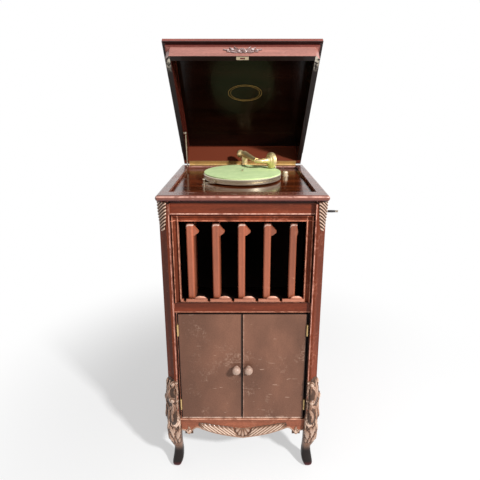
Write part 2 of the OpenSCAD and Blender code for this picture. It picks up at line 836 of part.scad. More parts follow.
// Long brass hinge: the case leaf holds the pin and the odd knuckles
module long_leaf(odd) {
    cell_w = hinge_len / hinge_cells;
    gap = 0.2;
    for (k = [0:hinge_cells - 1]) {
        if ((k % 2 == 0) == odd) {
            x0 = -hinge_len / 2 + k * cell_w + gap;
            difference() {
                union() {
                    translate([x0, 0, 0]) rotate([0, 90, 0]) cylinder(r = lid_pin_r, h = cell_w - 2 * gap);
                    slab(x0, x0 + cell_w - 2 * gap, -lid_pin_r - 1, 0, odd ? -leaf_gap - lid_leaf_t : leaf_gap,
                         odd ? -leaf_gap : leaf_gap + lid_leaf_t);
                }
                if (!odd) {
                    translate([x0 - 1, 0, 0]) rotate([0, 90, 0]) cylinder(r = 1.5 + run_fit, h = cell_w + 2);
                }
            }
        }
    }
}
module case_lid_hinge() {
    color(brass) translate([0, hinge_y, hinge_z]) union() {
        long_leaf(true);
        translate([-hinge_len / 2 + 1, 0, 0]) rotate([0, 90, 0]) cylinder(r = 1.5, h = hinge_len - 2);
        slab(-hinge_len / 2, hinge_len / 2, -leaf_depth, -lid_pin_r - 0.4, -leaf_gap - lid_leaf_t, -leaf_gap);
    }
}
module lid_hinge_leaf() {
    color(brass) on_lid() union() {
        long_leaf(false);
        slab(-hinge_len / 2, hinge_len / 2, -leaf_depth, -lid_pin_r - 0.4, leaf_gap, leaf_gap + lid_leaf_t);
    }
}

// Lid stay: a rod pinned to the lid, whose lower end runs along a track in the well
stay_eye = [-187, 12];
stay_len = 150;
stay_r = 2.2;
stay_x = -well_x + 3.8;
stay_drop = 80;
stay_pin_r = 2.5;
module lid_stay() {
    a = lid_open;
    eye_y = hinge_y + stay_eye[0] * cos(a) + stay_eye[1] * sin(a);
    eye_z = hinge_z - stay_eye[0] * sin(a) + stay_eye[1] * cos(a);
    color(nickel) translate([stay_x, eye_y, eye_z]) {
        rotate([0, 90, 0]) translate([0, 0, -stay_r]) difference() {
            cylinder(r = 7, h = 2 * stay_r);
            translate([0, 0, -1]) cylinder(r = stay_pin_r + run_fit, h = 4 * stay_r);
        }
        rotate([-90 - stay_drop, 0, 0]) translate([0, 0, 6]) cylinder(r = stay_r, h = stay_len - 6);
    }
}
module stay_pin() {
    pin_reach = stay_x + stay_r + seat + lid_w / 2 - lid_rail;
    color(nickel) on_lid() translate([-lid_w / 2 + lid_rail, stay_eye[0], stay_eye[1]]) rotate([0, 90, 0]) {
        cylinder(r = 6, h = 1.5);
        cylinder(r = stay_pin_r, h = pin_reach + 1);
        translate([0, 0, pin_reach]) cylinder(r = 5, h = 1.5);
    }
}
module stay_track() {
    color(nickel) slab(-well_x, -well_x + 1.2, well_back - 75, well_back - 4, board_z + 1, case_h - 1);
}

// Motor under the board
gear_t = 5;
big_teeth = 68;
small_teeth = 12;
gear_span = norm([barrel_x, barrel_y - spindle_y]);
gear_module = 2 * gear_span / (big_teeth + small_teeth);
gear_z = motor_plate_z - 14;
motor_low = gear_z - barrel_h - 20;
gov_front = spindle_y - 44;
gov_back = spindle_y + 96;
gov_z = gear_z - 31;
gov_shaft_r = 3;
module gear_outline(teeth) {
    pitch_r = gear_module * teeth / 2;
    points = [for (i = [0:teeth - 1], c = [0:3])
        let (a = 360 / teeth * (i + [-0.29, -0.1, 0.1, 0.29][c]),
             r = pitch_r + gear_module * [-1.1, 0.85, 0.85, -1.1][c])
        [r * cos(a), r * sin(a)]];
    polygon(points);
}
mesh_angle = atan2(barrel_y - spindle_y, barrel_x);
module spring_barrel() {
    color(brass) translate([barrel_x, barrel_y, 0]) {
        translate([0, 0, gear_z]) rotate([0, 0, mesh_angle + 180]) linear_extrude(gear_t)
            gear_outline(big_teeth);
        translate([0, 0, gear_z - barrel_h]) difference() {
            cylinder(r = barrel_r, h = barrel_h);
            translate([0, 0, barrel_wall]) cylinder(r = barrel_r - barrel_wall, h = barrel_h - 3 * barrel_wall);
        }
        translate([0, 0, motor_low + frame_t / 2 + seat])
            cylinder(r = shaft_r, h = motor_plate_z - motor_low - frame_t / 2 - 2 * seat);
    }
}
module motor_plate(z) {
    slab(motor_left, motor_right, motor_front, motor_back, z, z + frame_t);
}
module motor_frame() {
    color(iron) difference() {
        union() {
            motor_plate(motor_plate_z);
            motor_plate(motor_low);
            for (x = [motor_left + pillar_in, motor_right - pillar_in],
                 y = [motor_front + pillar_in, motor_back - pillar_in]) {
                translate([x, y, motor_low]) cylinder(r = pillar_r, h = motor_plate_z - motor_low);
            }
            for (y = [gov_front - frame_t, gov_back + seat]) {
                slab(governor_x - frame_t, governor_x + frame_t, y, y + frame_t - seat, motor_low, gov_z + frame_t);
            }
        }
        translate([0, spindle_y, motor_low - 1]) cylinder(r = shaft_r + run_fit, h = board_z - motor_low);
        translate([barrel_x, barrel_y, motor_low + frame_t / 2]) cylinder(r = shaft_r + run_fit, h = barrel_h / 2);
        for (y = [gov_front - 2 * frame_t, gov_back - frame_t]) {
            translate([governor_x, y, gov_z]) rotate([-90, 0, 0])
                cylinder(r = gov_shaft_r + run_fit, h = 3 * frame_t);
        }
    }
}
module spindle() {
    low = motor_low + seat;
    color(nickel) translate([0, spindle_y, 0]) {
        translate([0, 0, low]) cylinder(r = shaft_r, h = platter_z + web_z - low);
        translate([0, 0, platter_z]) cylinder(r = 4.2, h = platter_h);
        translate([0, 0, platter_z + 1]) cylinder(r = spindle_r, h = spindle_top - platter_z - 2.5);
        translate([0, 0, spindle_top - 1.5]) cylinder(r1 = spindle_r, r2 = spindle_r - 1.2, h = 1.5);
        translate([0, 0, gear_z - 0.5]) rotate([0, 0, mesh_angle + 180 / small_teeth]) linear_extrude(gear_t + 1)
            gear_outline(small_teeth);
        translate([0, 0, gov_z - 3]) cylinder(r = worm_wheel_r, h = 6);
    }
}
worm_wheel_r = 30;
worm_r = 6;
governor_x = -worm_wheel_r - worm_r - seat;
module governor() {
    disc_y = gov_back - 8;
    weight_y = gov_back - 32;
    color(brass) translate([governor_x, 0, gov_z]) {
        translate([0, gov_front, 0]) rotate([-90, 0, 0]) cylinder(r = worm_r, h = 80);
        translate([0, gov_front - frame_t, 0]) rotate([-90, 0, 0])
            cylinder(r = gov_shaft_r, h = gov_back - gov_front + 2 * frame_t);
        translate([0, disc_y, 0]) rotate([-90, 0, 0]) cylinder(r = 17, h = 3);
        for (k = [0:2]) {
            rotate([0, 120 * k, 0]) translate([0, weight_y, 11]) rotate([-90, 0, 0]) cylinder(r = 6, h = 9);
            rotate([0, 120 * k, 0]) slab(-2, 2, weight_y - 1, weight_y + 10, 2, 8);
        }
    }
}

// Platter with a turned rim, and its felt
module platter() {
    color(nickel) translate([0, spindle_y, platter_z]) {
        rotate_extrude($fn = 96) polygon([
            [4.2 + run_fit, web_z], [24, web_z], [28, platter_h - 5], [platter_r - 9, platter_h - 5],
            [platter_r - 9, 0], [platter_r - 2.5, 0], [platter_r - 1, 1.5], [platter_r - 1, 8],
            [platter_r - 4, 9.5], [platter_r - 4, 12], [platter_r, 13.5], [platter_r, platter_h - 2],
            [platter_r - 2, platter_h], [4.2 + run_fit, platter_h]]);
    }
}
module platter_felt() {
    color([0.6, 0.78, 0.6]) translate([0, spindle_y, felt_z]) difference() {
        cylinder(r = platter_r - 2, h = felt_t, $fn = 96);
        translate([0, 0, -1]) cylinder(r = spindle_r + run_fit, h = felt_t + 2);
    }
}

// Tone arm: flange, post and ball on the pivot, then a tapered tube and a bend
module arm_base() {
    bore = arm_pin_r + run_fit;
    color(brass) translate([pivot_x, pivot_y, board_z]) rotate_extrude() polygon([
        [elbow_r - elbow_wall, 0], [32, 0], [32, 3], [24, 6], [17, 9], [17, 22], [bore, 22],
        [bore, 12], [elbow_r - elbow_wall - 9, 8]]);
}
arm_top_r = 14.5;
arm_tip_r = 7.5;
neck_tube_r = 8;
collar_r = 10;
arm_pin_r = 13.2;
module tone_arm() {
    tilt = 90 + atan2(arm_z - box_z, norm(arm_run));
    color(brass) union() {
        translate([pivot_x, pivot_y, 0]) {
            translate([0, 0, board_z + 12 + seat]) cylinder(r = arm_pin_r, h = arm_z - board_z - 14);
            translate([0, 0, board_z + 22 + seat]) cylinder(r = 17, h = 4);
            translate([0, 0, arm_z]) {
                sphere(r = arm_top_r);
                rotate([0, 0, atan2(arm_tail[1], arm_tail[0])]) rotate([0, 90, 0]) {
                    cylinder(r = arm_top_r - 1, h = norm(arm_tail));
                    translate([0, 0, norm(arm_tail)]) sphere(r = ball_r);
                }
                rotate([0, 0, heading]) rotate([0, tilt, 0])
                    cylinder(r1 = arm_top_r - 0.5, r2 = arm_tip_r, h = norm([norm(arm_run), arm_z - box_z]));
            }
        }
        translate([neck_start[0], neck_start[1], box_z]) rotate([0, 0, heading]) rotate([0, 90, 0])
            translate([0, 0, -4]) cylinder(r = collar_r, h = 6);
        neck_bend();
    }
}
module neck_bend() {
    translate([neck_centre[0], neck_centre[1], box_z])
        rotate_extrude(angle = box_turn - heading, start = heading - 90) translate([neck_r, 0])
            circle(r = neck_tube_r);
    translate([neck_end[0], neck_end[1], box_z]) rotate([0, 0, box_turn]) rotate([0, 90, 0])
        translate([0, 0, -2]) cylinder(r = collar_r, h = neck_len - bell_len + 2 - seat);
}
// Sound box parts are drawn with their axis along +Z and the needle towards +X
module on_box() {
    translate(box_centre) rotate([0, 0, box_turn]) rotate([0, 90, 0]) children();
}
module sound_box() {
    half_t = box_t / 2;
    color(brass) on_box() rotate_extrude($fn = 72) polygon([
        [5, -bell_len], [10, -bell_len], [10, 5 - bell_len], [8.5, 7 - bell_len], [9.5, -22], [12.5, -15],
        [18, -half_t - 3], [18, -half_t - 4.5], [20, -half_t - 4.5], [21, -half_t - 2], [box_r - 4, -half_t],
        [box_r, -half_t + 2], [box_r, half_t - 2], [box_r - 2, half_t], [box_r - 6, half_t],
        [box_r - 7, half_t - 3], [0.5, half_t - 3.6], [0.5, half_t - 6], [5, half_t - 6]]);
}
module needle_lever() {
    face = box_t / 2;
    reach = (box_z - needle_z) / cos(needle_lean);
    color(nickel) on_box() rotate([0, 0, -needle_lean]) {
        translate([0, 0, face - 3.6 + seat]) cylinder(r = 3, h = 5);
        slab(0, box_r - 2, -1.2, 1.2, face + 0.5, face + 2.5);
        slab(box_r - 6, box_r + 2, -3, 3, face, face + 5);
        translate([box_r + 1, 0, face + 2.5]) rotate([0, 90, 0]) cylinder(r1 = 1, r2 = 0.3, h = reach - box_r - 1);
    }
}

// Board fittings
speed_x = platter_r + 22;
speed_y = spindle_y + 49;
module speed_knob() {
    color(nickel) translate([speed_x, speed_y, board_z + seat]) {
        rotate_extrude() polygon([[0, 0], [13, 0], [13, 1.5], [11, 3], [11, 16], [9.5, 19], [0, 19.5]]);
        translate([0, 0, -20]) cylinder(r = 4 - run_fit, h = 21);
    }
}
brake_x = -platter_r + 10.5;
brake_y = spindle_y - 116;
module brake_lever() {
    pad = [0, spindle_y] - (platter_r + 4.6) * [cos(50.9), sin(50.9)];
    reach = norm(pad - [brake_x, brake_y]);
    color(nickel) translate([brake_x, brake_y, board_z + seat]) {
        cylinder(r = 7, h = 4);
        cylinder(r = 3.5, h = 20);
        translate([0, 0, 20]) sphere(r = 4.5);
        rotate([0, 0, atan2(pad[1] - brake_y, pad[0] - brake_x)]) {
            slab(0, reach, -3, 3, 7, 10);
            slab(reach - 6, reach, -4, 4, 7, 13);
        }
    }
}

// Winding crank on the right side
bush_r = 11;
module crank_bush() {
    color(brass) translate([panel_in, crank_y, crank_z]) rotate([0, 90, 0]) difference() {
        union() {
            cylinder(r = bush_r, h = panel_t);
            translate([0, 0, panel_t]) cylinder(r = 22, h = 2.5);
            translate([0, 0, panel_t + 2]) cylinder(r = 13, h = 6);
        }
        translate([0, 0, -1]) cylinder(r = crank_r + run_fit, h = panel_t + 20);
    }
}
grip_y = crank_y - crank_arm * cos(crank_dip);
grip_z = crank_z - crank_arm * sin(crank_dip);
module crank() {
    color(nickel) {
        translate([motor_right + seat, crank_y, crank_z]) rotate([0, 90, 0])
            cylinder(r = crank_r, h = crank_face - motor_right + 8);
        translate([crank_face, crank_y, crank_z]) rotate([0, 90, 0]) cylinder(r = 11, h = 11);
        translate([crank_face + 5, crank_y, crank_z]) rotate([crank_dip, 0, 0]) rotate([90, 0, 0])
            cylinder(r1 = 5.5, r2 = 3.8, h = crank_arm);
        translate([crank_face, grip_y, grip_z]) rotate([0, 90, 0]) cylinder(r = 8, h = 9);
        translate([crank_face + 5, grip_y, grip_z]) rotate([0, 90, 0]) cylinder(r = 4, h = 70);
    }
}
module crank_grip() {
    color([0.2, 0.1, 0.08]) translate([crank_face + 9 + seat, grip_y, grip_z]) rotate([0, 90, 0]) rotate_extrude()
        polygon([[4 + run_fit, 0], [8, 0], [10, 5], [grip_r, 22], [grip_r, 44], [10, 58], [5, 62], [4 + run_fit, 62]]);
}

left_side();
right_side();
back_panel();
cabinet_floor();
sound_shelf();
top_moulding();
motor_board();
top_rail();
middle_rail();
grille_frame();
grille_sill();
grille_soffit();
front_left_leg();
front_right_leg();
rear_left_leg();
rear_right_leg();
front_apron();
side_aprons();
door_stiles();
record_dividers();
horn();
horn_elbow();
case_door_hinges();
case_lid_hinge();
stay_track();
crank_bush();
motor_frame();
arm_base();
stay_pin();
lid_frame();
lid_board_panel();
lid_crown();
lid_carving();
lock_keeper();
lid_hinge_leaf();
lid_stay();
louvre_1();
louvre_2();
louvre_3();
louvre_4();
louvre_5();
louvre_link();
left_door();
right_door();
left_knob();
right_knob();
left_door_hinges();
right_door_hinges();
platter();
platter_felt();
spindle();
spring_barrel();
governor();
tone_arm();
sound_box();
needle_lever();
crank();
crank_grip();
brake_lever();
speed_knob();
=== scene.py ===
# A floor-standing gramophone: varnish, carving, nickel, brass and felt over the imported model
import math

import bpy
import numpy as np
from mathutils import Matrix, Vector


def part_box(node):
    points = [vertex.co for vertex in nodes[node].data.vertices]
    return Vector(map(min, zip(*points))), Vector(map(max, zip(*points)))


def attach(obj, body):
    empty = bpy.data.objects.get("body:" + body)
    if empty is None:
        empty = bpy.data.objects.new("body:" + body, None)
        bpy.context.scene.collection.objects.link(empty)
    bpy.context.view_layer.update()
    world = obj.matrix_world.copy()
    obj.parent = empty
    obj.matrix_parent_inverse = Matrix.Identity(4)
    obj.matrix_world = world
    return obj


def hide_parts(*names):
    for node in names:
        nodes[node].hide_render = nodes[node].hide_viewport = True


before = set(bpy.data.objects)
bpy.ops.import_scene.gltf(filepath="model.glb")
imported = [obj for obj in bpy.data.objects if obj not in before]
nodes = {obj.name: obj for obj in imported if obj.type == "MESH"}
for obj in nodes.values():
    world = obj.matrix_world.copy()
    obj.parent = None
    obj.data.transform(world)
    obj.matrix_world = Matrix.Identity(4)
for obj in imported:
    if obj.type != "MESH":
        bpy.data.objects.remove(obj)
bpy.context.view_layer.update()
print("frame loaded")

# Meshes from arrays


def gridFaces(rows, columns, closed=False, start=0):
    # quads of a grid: each joins a point, its neighbour along the row and the two above them in the next row
    rr, cc = np.meshgrid(np.arange(rows - 1), np.arange(columns if closed else columns - 1), indexing="ij")
    beside = (cc + 1) % columns
    low, high = rr * columns, (rr + 1) * columns
    quads = np.stack([low + cc, low + beside, high + beside, high + cc], axis=-1)
    return quads.reshape(-1, 4) + start


def addObject(name, data):
    item = bpy.data.objects.new(name, data)
    bpy.context.collection.objects.link(item)
    return item


def meshFrom(name, points, faces, relief=None, smooth=True):
    # a mesh of a point array and face arrays; the faces turn round where the sum of a.(b x c) is negative
    points = np.asarray(points, float).reshape(-1, 3)
    corners = np.concatenate([f[:, [0, 1, 2]] for f in faces] +
                             [f[:, [0, 2, 3]] for f in faces if f.shape[1] == 4])
    a, b, c = (points[corners[:, k]] - points.mean(0) for k in range(3))
    inward = np.einsum("ij,ij->i", a, np.cross(b, c)).sum() < 0
    lists = [row for f in faces for row in (f[:, ::-1] if inward else f).tolist()]
    mesh = bpy.data.meshes.new(name)
    mesh.from_pydata(points.tolist(), [], lists)
    mesh.validate()
    if relief is not None:
        layer = mesh.attributes.new("relief", "FLOAT", "POINT")
        layer.data.foreach_set("value", np.asarray(relief, np.float32).ravel())
    mesh.polygons.foreach_set("use_smooth", np.full(len(mesh.polygons), smooth))
    return addObject(name, mesh)


def tubeFrom(name, rings, relief=None, endRelief=0.3):
    # a closed tube through rings of points, with a middle point that closes each end
    rows, columns = rings.shape[:2]
    count = rows * columns
    ends = np.stack([rings[0].mean(0), rings[-1].mean(0)])
    column = np.arange(columns)
    beside = (column + 1) % columns
    low = np.stack([beside, column, np.full(columns, count)], axis=1)
    last = (rows - 1) * columns
    high = np.stack([last + column, last + beside, np.full(columns, count + 1)], axis=1)
    if relief is not None:
        relief = np.concatenate([np.asarray(relief).ravel(), [endRelief, endRelief]])
    faces = [gridFaces(rows, columns, closed=True), low, high]
    return meshFrom(name, np.concatenate([rings.reshape(-1, 3), ends]), faces, relief)


def slabFrom(name, front, back, relief):
    # a closed shell of two grids of the same size, joined round their edge
    rows, columns = front.shape[:2]
    count = rows * columns
    index = np.arange(count).reshape(rows, columns)
    rim = np.concatenate([index[0, :-1], index[:-1, -1], index[-1, :0:-1], index[:0:-1, 0]])
    after = np.roll(rim, -1)
    sides = np.stack([after, rim, rim + count, after + count], axis=1)
    faces = [gridFaces(rows, columns), gridFaces(rows, columns, start=count)[:, ::-1], sides]
    relief = np.concatenate([np.asarray(relief).ravel(), np.zeros(count)])
    return meshFrom(name, np.concatenate([front.reshape(-1, 3), back.reshape(-1, 3)]), faces, relief)


def throughRows(table, steps):
    # values along a table of rows: a cubic through every row, its slope taken from the rows on both sides
    table = np.asarray(table, float)
    s = np.linspace(0, len(table) - 1, steps)
    i = np.minimum(s.astype(int), len(table) - 2)
    t = (s - i)[:, None]
    a, b, c, d = table[np.maximum(i - 1, 0)], table[i], table[i + 1], table[np.minimum(i + 2, len(table) - 1)]
    square = (2 * a - 5 * b + 4 * c - d) * t ** 2
    return 0.5 * (2 * b + (c - a) * t + square + (3 * b - a - 3 * c + d) * t ** 3)


def flatGrid(shape):
    # the u across and v up of a flat field
    columns, rows = shape["grid"]
    return np.meshgrid(np.linspace(*shape["across"], columns), np.linspace(*shape["up"], rows))


def wholeTurn(columns, start=0.0):
    return (np.arange(columns) + start) / columns * 2 * math.pi


def place(piece, material, body, replaced=()):
    # a finished piece: its material, the body it rides on, its slot and the nodes it stands for
    piece.data.materials.clear()
    piece.data.materials.append(material)
    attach(piece, body)
    if replaced:
        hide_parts(*replaced)
    return piece


# Carver's strokes: heights from 0 to 1 over a flat field of u across and v up, in millimetres
strokeForm = {
    "notches": 26,          # how fast a leaf's edge waves along it
    "notchDepth": 0.14,
    "midribWidth": 0.16,
    "midribDepth": 0.45,
    "eye": 0.22,            # share of a volute's radius
    "scallop": 0.08,
}


def leafStroke(u, v, root, aim, length, width):
    # a leaf from its root along an angle: wide and high in the middle, with a sunk midrib and notched edges
    du, dv, turn = u - root[0], v - root[1], math.radians(aim)
    along = (du * math.cos(turn) + dv * math.sin(turn)) / length
    across = (dv * math.cos(turn) - du * math.sin(turn)) / width
    s = np.clip(along, 0, 1)
    notch = 1 - strokeForm["notchDepth"] + strokeForm["notchDepth"] * np.cos(s * strokeForm["notches"])
    edge = np.maximum(np.sin(math.pi * s ** 0.8) * notch, 1e-3)
    t = np.abs(across) / edge
    height = np.sqrt(np.clip(1 - t ** 2, 0, 1)) * (0.45 + 0.55 * s)
    midrib = strokeForm["midribDepth"] * np.exp(-(t / strokeForm["midribWidth"]) ** 2)
    return np.where((along > 0) & (along < 1), height * (1 - midrib), 0)


def scrollStroke(u, v, middle, radius, turns, hand):
    # a volute: a ridge that winds in towards a raised eye, from the angle and distance round its middle
    du, dv = (u - middle[0]) * hand, v - middle[1]
    far = np.hypot(du, dv) / radius
    ridge = 0.5 + 0.5 * np.cos(np.arctan2(dv, du) - 2 * math.pi * turns * far)
    height = (0.25 + 0.75 * ridge ** 0.7) * np.sqrt(np.clip(1 - far ** 6, 0, 1))
    return np.where(far < strokeForm["eye"], 1.0, height) * (far < 1)


def shellStroke(u, v, root, width, height, ribs):
    # a fan of ribs from its root: the cosine of a whole number of turns, rising to a scalloped edge
    du, dv = (u - root[0]) / width, (v - root[1]) / height
    far = np.hypot(du, dv)
    wave = np.abs(np.cos(np.arctan2(du, dv) * ribs))
    edge = 1 - strokeForm["scallop"] + strokeForm["scallop"] * wave
    rib = (0.45 + 0.55 * wave ** 0.6) * (0.35 + 0.65 * far)
    return np.where(far < edge, rib * np.sqrt(np.clip(1 - (far / edge) ** 8, 0, 1)), 0)


def carved(u, v, shape, field=0.0):
    # the highest of a field and of a shape's leaves and volutes at each point
    for root, aim, length, width in shape["leaves"]:
        field = np.maximum(field, leafStroke(u, v, root, aim, length, width))
    for middle, radius, turns, hand in shape["volutes"]:
        field = np.maximum(field, scrollStroke(u, v, middle, radius, turns, hand))
    return field


# Shader helpers


def newMaterial(name):
    material = bpy.data.materials.new(name)
    material.use_nodes = True
    tree = material.node_tree
    return material, tree, tree.nodes["Principled BSDF"]


def colour(r, g, b):
    # a linear colour from an sRGB one given in 0 to 255
    levels = (((v / 255 + 0.055) / 1.055) ** 2.4 if v > 10 else v / 255 / 12.92 for v in (r, g, b))
    return (*levels, 1.0)


def isOutput(value):
    return isinstance(value, bpy.types.NodeSocket)


def setInput(socket, value):
    # a node's output is linked to the input, three numbers are an sRGB colour, and the rest becomes its value
    if isOutput(value):
        socket.id_data.links.new(value, socket)
    elif socket.type == "RGBA" and len(value) == 3:
        socket.default_value = colour(*value)
    else:
        socket.default_value = value


def setValues(item, **values):
    # a keyword sets the node's input of that name, or else its property
    for key, value in values.items():
        label = key.replace("_", " ")
        if label in item.inputs:
            setInput(item.inputs[label], value)
        else:
            setattr(item, key, value)
    return item


def addNode(tree, kind, **values):
    return setValues(tree.nodes.new(kind), **values)


def treeOf(*values):
    return next(value.id_data for value in values if isOutput(value))


def math2(operation, a, b=0.0, clamp=False):
    # a Math node of two inputs, each a number or another node's output, in the tree of that output
    item = addNode(treeOf(a, b), "ShaderNodeMath", operation=operation, use_clamp=clamp)
    setInput(item.inputs[0], a)
    setInput(item.inputs[1], b)
    return item.outputs[0]


def times(a, b, clamp=False):
    return math2("MULTIPLY", a, b, clamp)


def vector2(operation, a, b):
    item = addNode(treeOf(a, b), "ShaderNodeVectorMath", operation=operation)
    setInput(item.inputs[0], a)
    setInput(item.inputs[1], b)
    return item.outputs["Vector"]


def mixColour(amount, first, second, blend="MIX"):
    item = addNode(treeOf(amount, first, second), "ShaderNodeMix", data_type="RGBA", blend_type=blend)
    for index, value in ((0, amount), (6, first), (7, second)):
        setInput(item.inputs[index], value)
    return item.outputs[2]


def noise(where, scale, detail, roughness, distortion=0.0):
    item = addNode(where.id_data, "ShaderNodeTexNoise", Vector=where, Scale=scale, Detail=detail,
                   Roughness=roughness, Distortion=distortion)
    return item.outputs["Fac"]


def mapRange(value, start=(0.0, 1.0), end=(0.0, 1.0), kind="LINEAR"):
    item = addNode(value.id_data, "ShaderNodeMapRange", interpolation_type=kind, Value=value,
                   From_Min=start[0], From_Max=start[1], To_Min=end[0], To_Max=end[1])
    return item.outputs["Result"]


def stretched(where, scale, turn=(0.0, 0.0, 0.0)):
    item = addNode(where.id_data, "ShaderNodeMapping", Vector=where, Rotation=turn, Scale=scale)
    return item.outputs["Vector"]


def partsOf(vector):
    return addNode(vector.id_data, "ShaderNodeSeparateXYZ", Vector=vector).outputs


def objectPlace(tree):
    return tree.nodes.new("ShaderNodeTexCoord").outputs["Object"]


def sourceOf(shader, name):
    # the output that feeds an input of the shader now
    return shader.inputs[name].links[0].from_socket


def scaled(tone, share):
    return tuple(min(v * share, 255) for v in tone)


def rampOf(source, stops):
    # a colour ramp; a stop's value is a grey level or an sRGB colour
    ramp = source.id_data.nodes.new("ShaderNodeValToRGB")
    elements = ramp.color_ramp.elements
    while len(elements) < len(stops):
        elements.new(0.5)
    for element, (position, value) in zip(elements, stops):
        element.position = position
        element.color = colour(*value) if isinstance(value, tuple) else (value, value, value, 1)
    setInput(ramp.inputs["Fac"], source)
    return ramp.outputs["Color"]


def bumped(height, strength, distance):
    item = addNode(height.id_data, "ShaderNodeBump", Strength=strength, Distance=distance, Height=height)
    return item.outputs["Normal"]


socketKinds = {"Vector": "Vector", "Low": "Vector", "High": "Vector", "Deep": "Color", "Warm": "Color",
               "Colour": "Color", "Scuff": "Color"}


def newGroup(name, given, results):
    # a node group of named inputs and outputs, numbers where the table has no kind, and its end sockets
    tree = bpy.data.node_groups.new(name, "ShaderNodeTree")
    for titles, way in ((given, "INPUT"), (results, "OUTPUT")):
        for title in titles:
            kind = "NodeSocket" + socketKinds.get(title, "Float")
            tree.interface.new_socket(name=title, in_out=way, socket_type=kind)
    return tree, tree.nodes.new("NodeGroupInput").outputs, tree.nodes.new("NodeGroupOutput").inputs


def buildGrainGroup():
    # mahogany: slow colour ribbons, fine dark pores and a warm haze, all drawn out along the stretched axis
    tree, given, result = newGroup("mahoganyGrain", ("Vector", "Deep", "Warm", "Ribbon", "Pores"),
                                   ("Colour", "Height"))
    where = given["Vector"]
    ribbon = rampOf(noise(where, 14.0, 4.0, 0.55, 0.6), [(0.32, 0.0), (0.66, 1.0)])
    pores = rampOf(noise(where, 260.0, 2.0, 0.6, 0.1), [(0.40, 0.0), (0.56, 1.0)])
    haze = rampOf(noise(where, 3.5, 3.0, 0.5), [(0.35, 0.0), (0.65, 1.0)])
    base = mixColour(haze, given["Warm"], given["Deep"])
    lit = mixColour(times(ribbon, given["Ribbon"]), base, given["Deep"])
    dark = mapRange(pores, end=(0.45, 1.0))
    setInput(result["Colour"], mixColour(given["Pores"], lit, dark, "MULTIPLY"))
    setInput(result["Height"], pores)
    return tree


def buildWearGroup():
    # marks of age: pale scuffs in patches, a few short scratches and dull blotches in the varnish
    tree, given, result = newGroup("varnishWear", ("Vector", "Colour", "Scuff", "Amount"), ("Colour", "Dull"))
    where = given["Vector"]
    patch = rampOf(noise(where, 9.0, 6.0, 0.7), [(0.55, 0.0), (0.72, 1.0)])
    speck = rampOf(noise(where, 120.0, 3.0, 0.7), [(0.48, 0.0), (0.62, 1.0)])
    slanted = stretched(where, (9.0, 60.0, 60.0), (0.5, 0.6, 0.9))
    scratch = rampOf(noise(slanted, 2.4, 2.0, 0.5, 0.6), [(0.72, 0.0), (0.75, 1.0)])
    marks = math2("MAXIMUM", times(patch, speck), scratch)
    share = times(marks, given["Amount"], clamp=True)
    setInput(result["Colour"], mixColour(share, given["Colour"], given["Scuff"]))
    setInput(result["Dull"], patch)
    return tree


def boxDepth(where, low, high):
    # along each axis, the distance to the nearer of a box's two faces, positive inside it
    below = vector2("SUBTRACT", where, low)
    above = vector2("SUBTRACT", high, where)
    return partsOf(vector2("MINIMUM", below, above))


def buildEdgeGroup():
    # rubbed edges of a square piece: the middle one of the distances to its nearest faces, frayed by noise
    tree, given, result = newGroup("rubbedEdges", ("Vector", "Low", "High", "Width"), ("Mask",))
    x, y, z = boxDepth(given["Vector"], given["Low"], given["High"])
    lesser = math2("MINIMUM", x, y)
    greater = math2("MAXIMUM", x, y)
    middle = math2("MAXIMUM", lesser, math2("MINIMUM", greater, z))
    fray = rampOf(noise(given["Vector"], 55.0, 4.0, 0.7), [(0.42, 0.05), (0.66, 1.0)])
    reach = times(given["Width"], fray)
    setInput(result["Mask"], math2("SUBTRACT", 1.0, math2("DIVIDE", middle, reach), clamp=True))
    return tree


grainGroup = buildGrainGroup()
wearGroup = buildWearGroup()
edgeGroup = buildEdgeGroup()
print("shader groups built")

# Woods

grainAlong = {"x": (0.4, 4.7, 4.7), "y": (4.7, 0.4, 4.7), "z": (4.7, 4.7, 0.4), "blotch": (2.0, 2.0, 1.2)}
lidTurn = math.radians(50)
hingeLine = (0.0, 0.2895, 1.0674)


def lidSpace(where):
    # object coordinates turned back into the shut lid's own, with its hinge line as the origin
    return stretched(vector2("SUBTRACT", where, hingeLine), (1.0, 1.0, 1.0), (lidTurn, 0, 0))


lineForm = {
    "outer": 1.3,           # where a line begins and where it is full, in its half widths
    "inner": 0.6,
    "paleFrom": 120,        # lighter lines than this are broken by wear
    "capReach": 10.5,       # a cap drops by capDrop at this distance from its top
    "capDrop": 6.0,
    "capSlow": 0.45,        # share of the distance that counts on its right
}


def drawLines(where, result, lines):
    # painted lines of shade, and pale lines of painted highlight broken by wear: at a height, aside on both
    # sides of the middle, or on the right only; a number stands for the x of a rounded cap, which drops with
    # the cube of the distance from it
    parts = partsOf(where)
    x, z = parts[0], parts[2]
    rubbed = mapRange(noise(where, 38.0, 4.0, 0.7), (0.38, 0.56), (0.2, 1.0))
    for kind, middle, half, tone in lines:
        if kind == "height":
            along = z
        elif kind == "aside":
            along = math2("ABSOLUTE", x)
        elif kind == "right":
            along = x
        else:
            leftOf = math2("SUBTRACT", kind, x)
            off = math2("MAXIMUM", leftOf, times(leftOf, -lineForm["capSlow"]))
            cube = math2("POWER", math2("DIVIDE", off, lineForm["capReach"] / 1000), 3.0)
            along = math2("ADD", z, times(cube, lineForm["capDrop"] / 1000))
        far = math2("ABSOLUTE", math2("SUBTRACT", along, middle / 1000))
        share = mapRange(far, (half * lineForm["outer"] / 1000, half * lineForm["inner"] / 1000))
        if max(tone) > lineForm["paleFrom"]:
            share = times(share, rubbed)
        result = mixColour(share, result, tone)
    return result


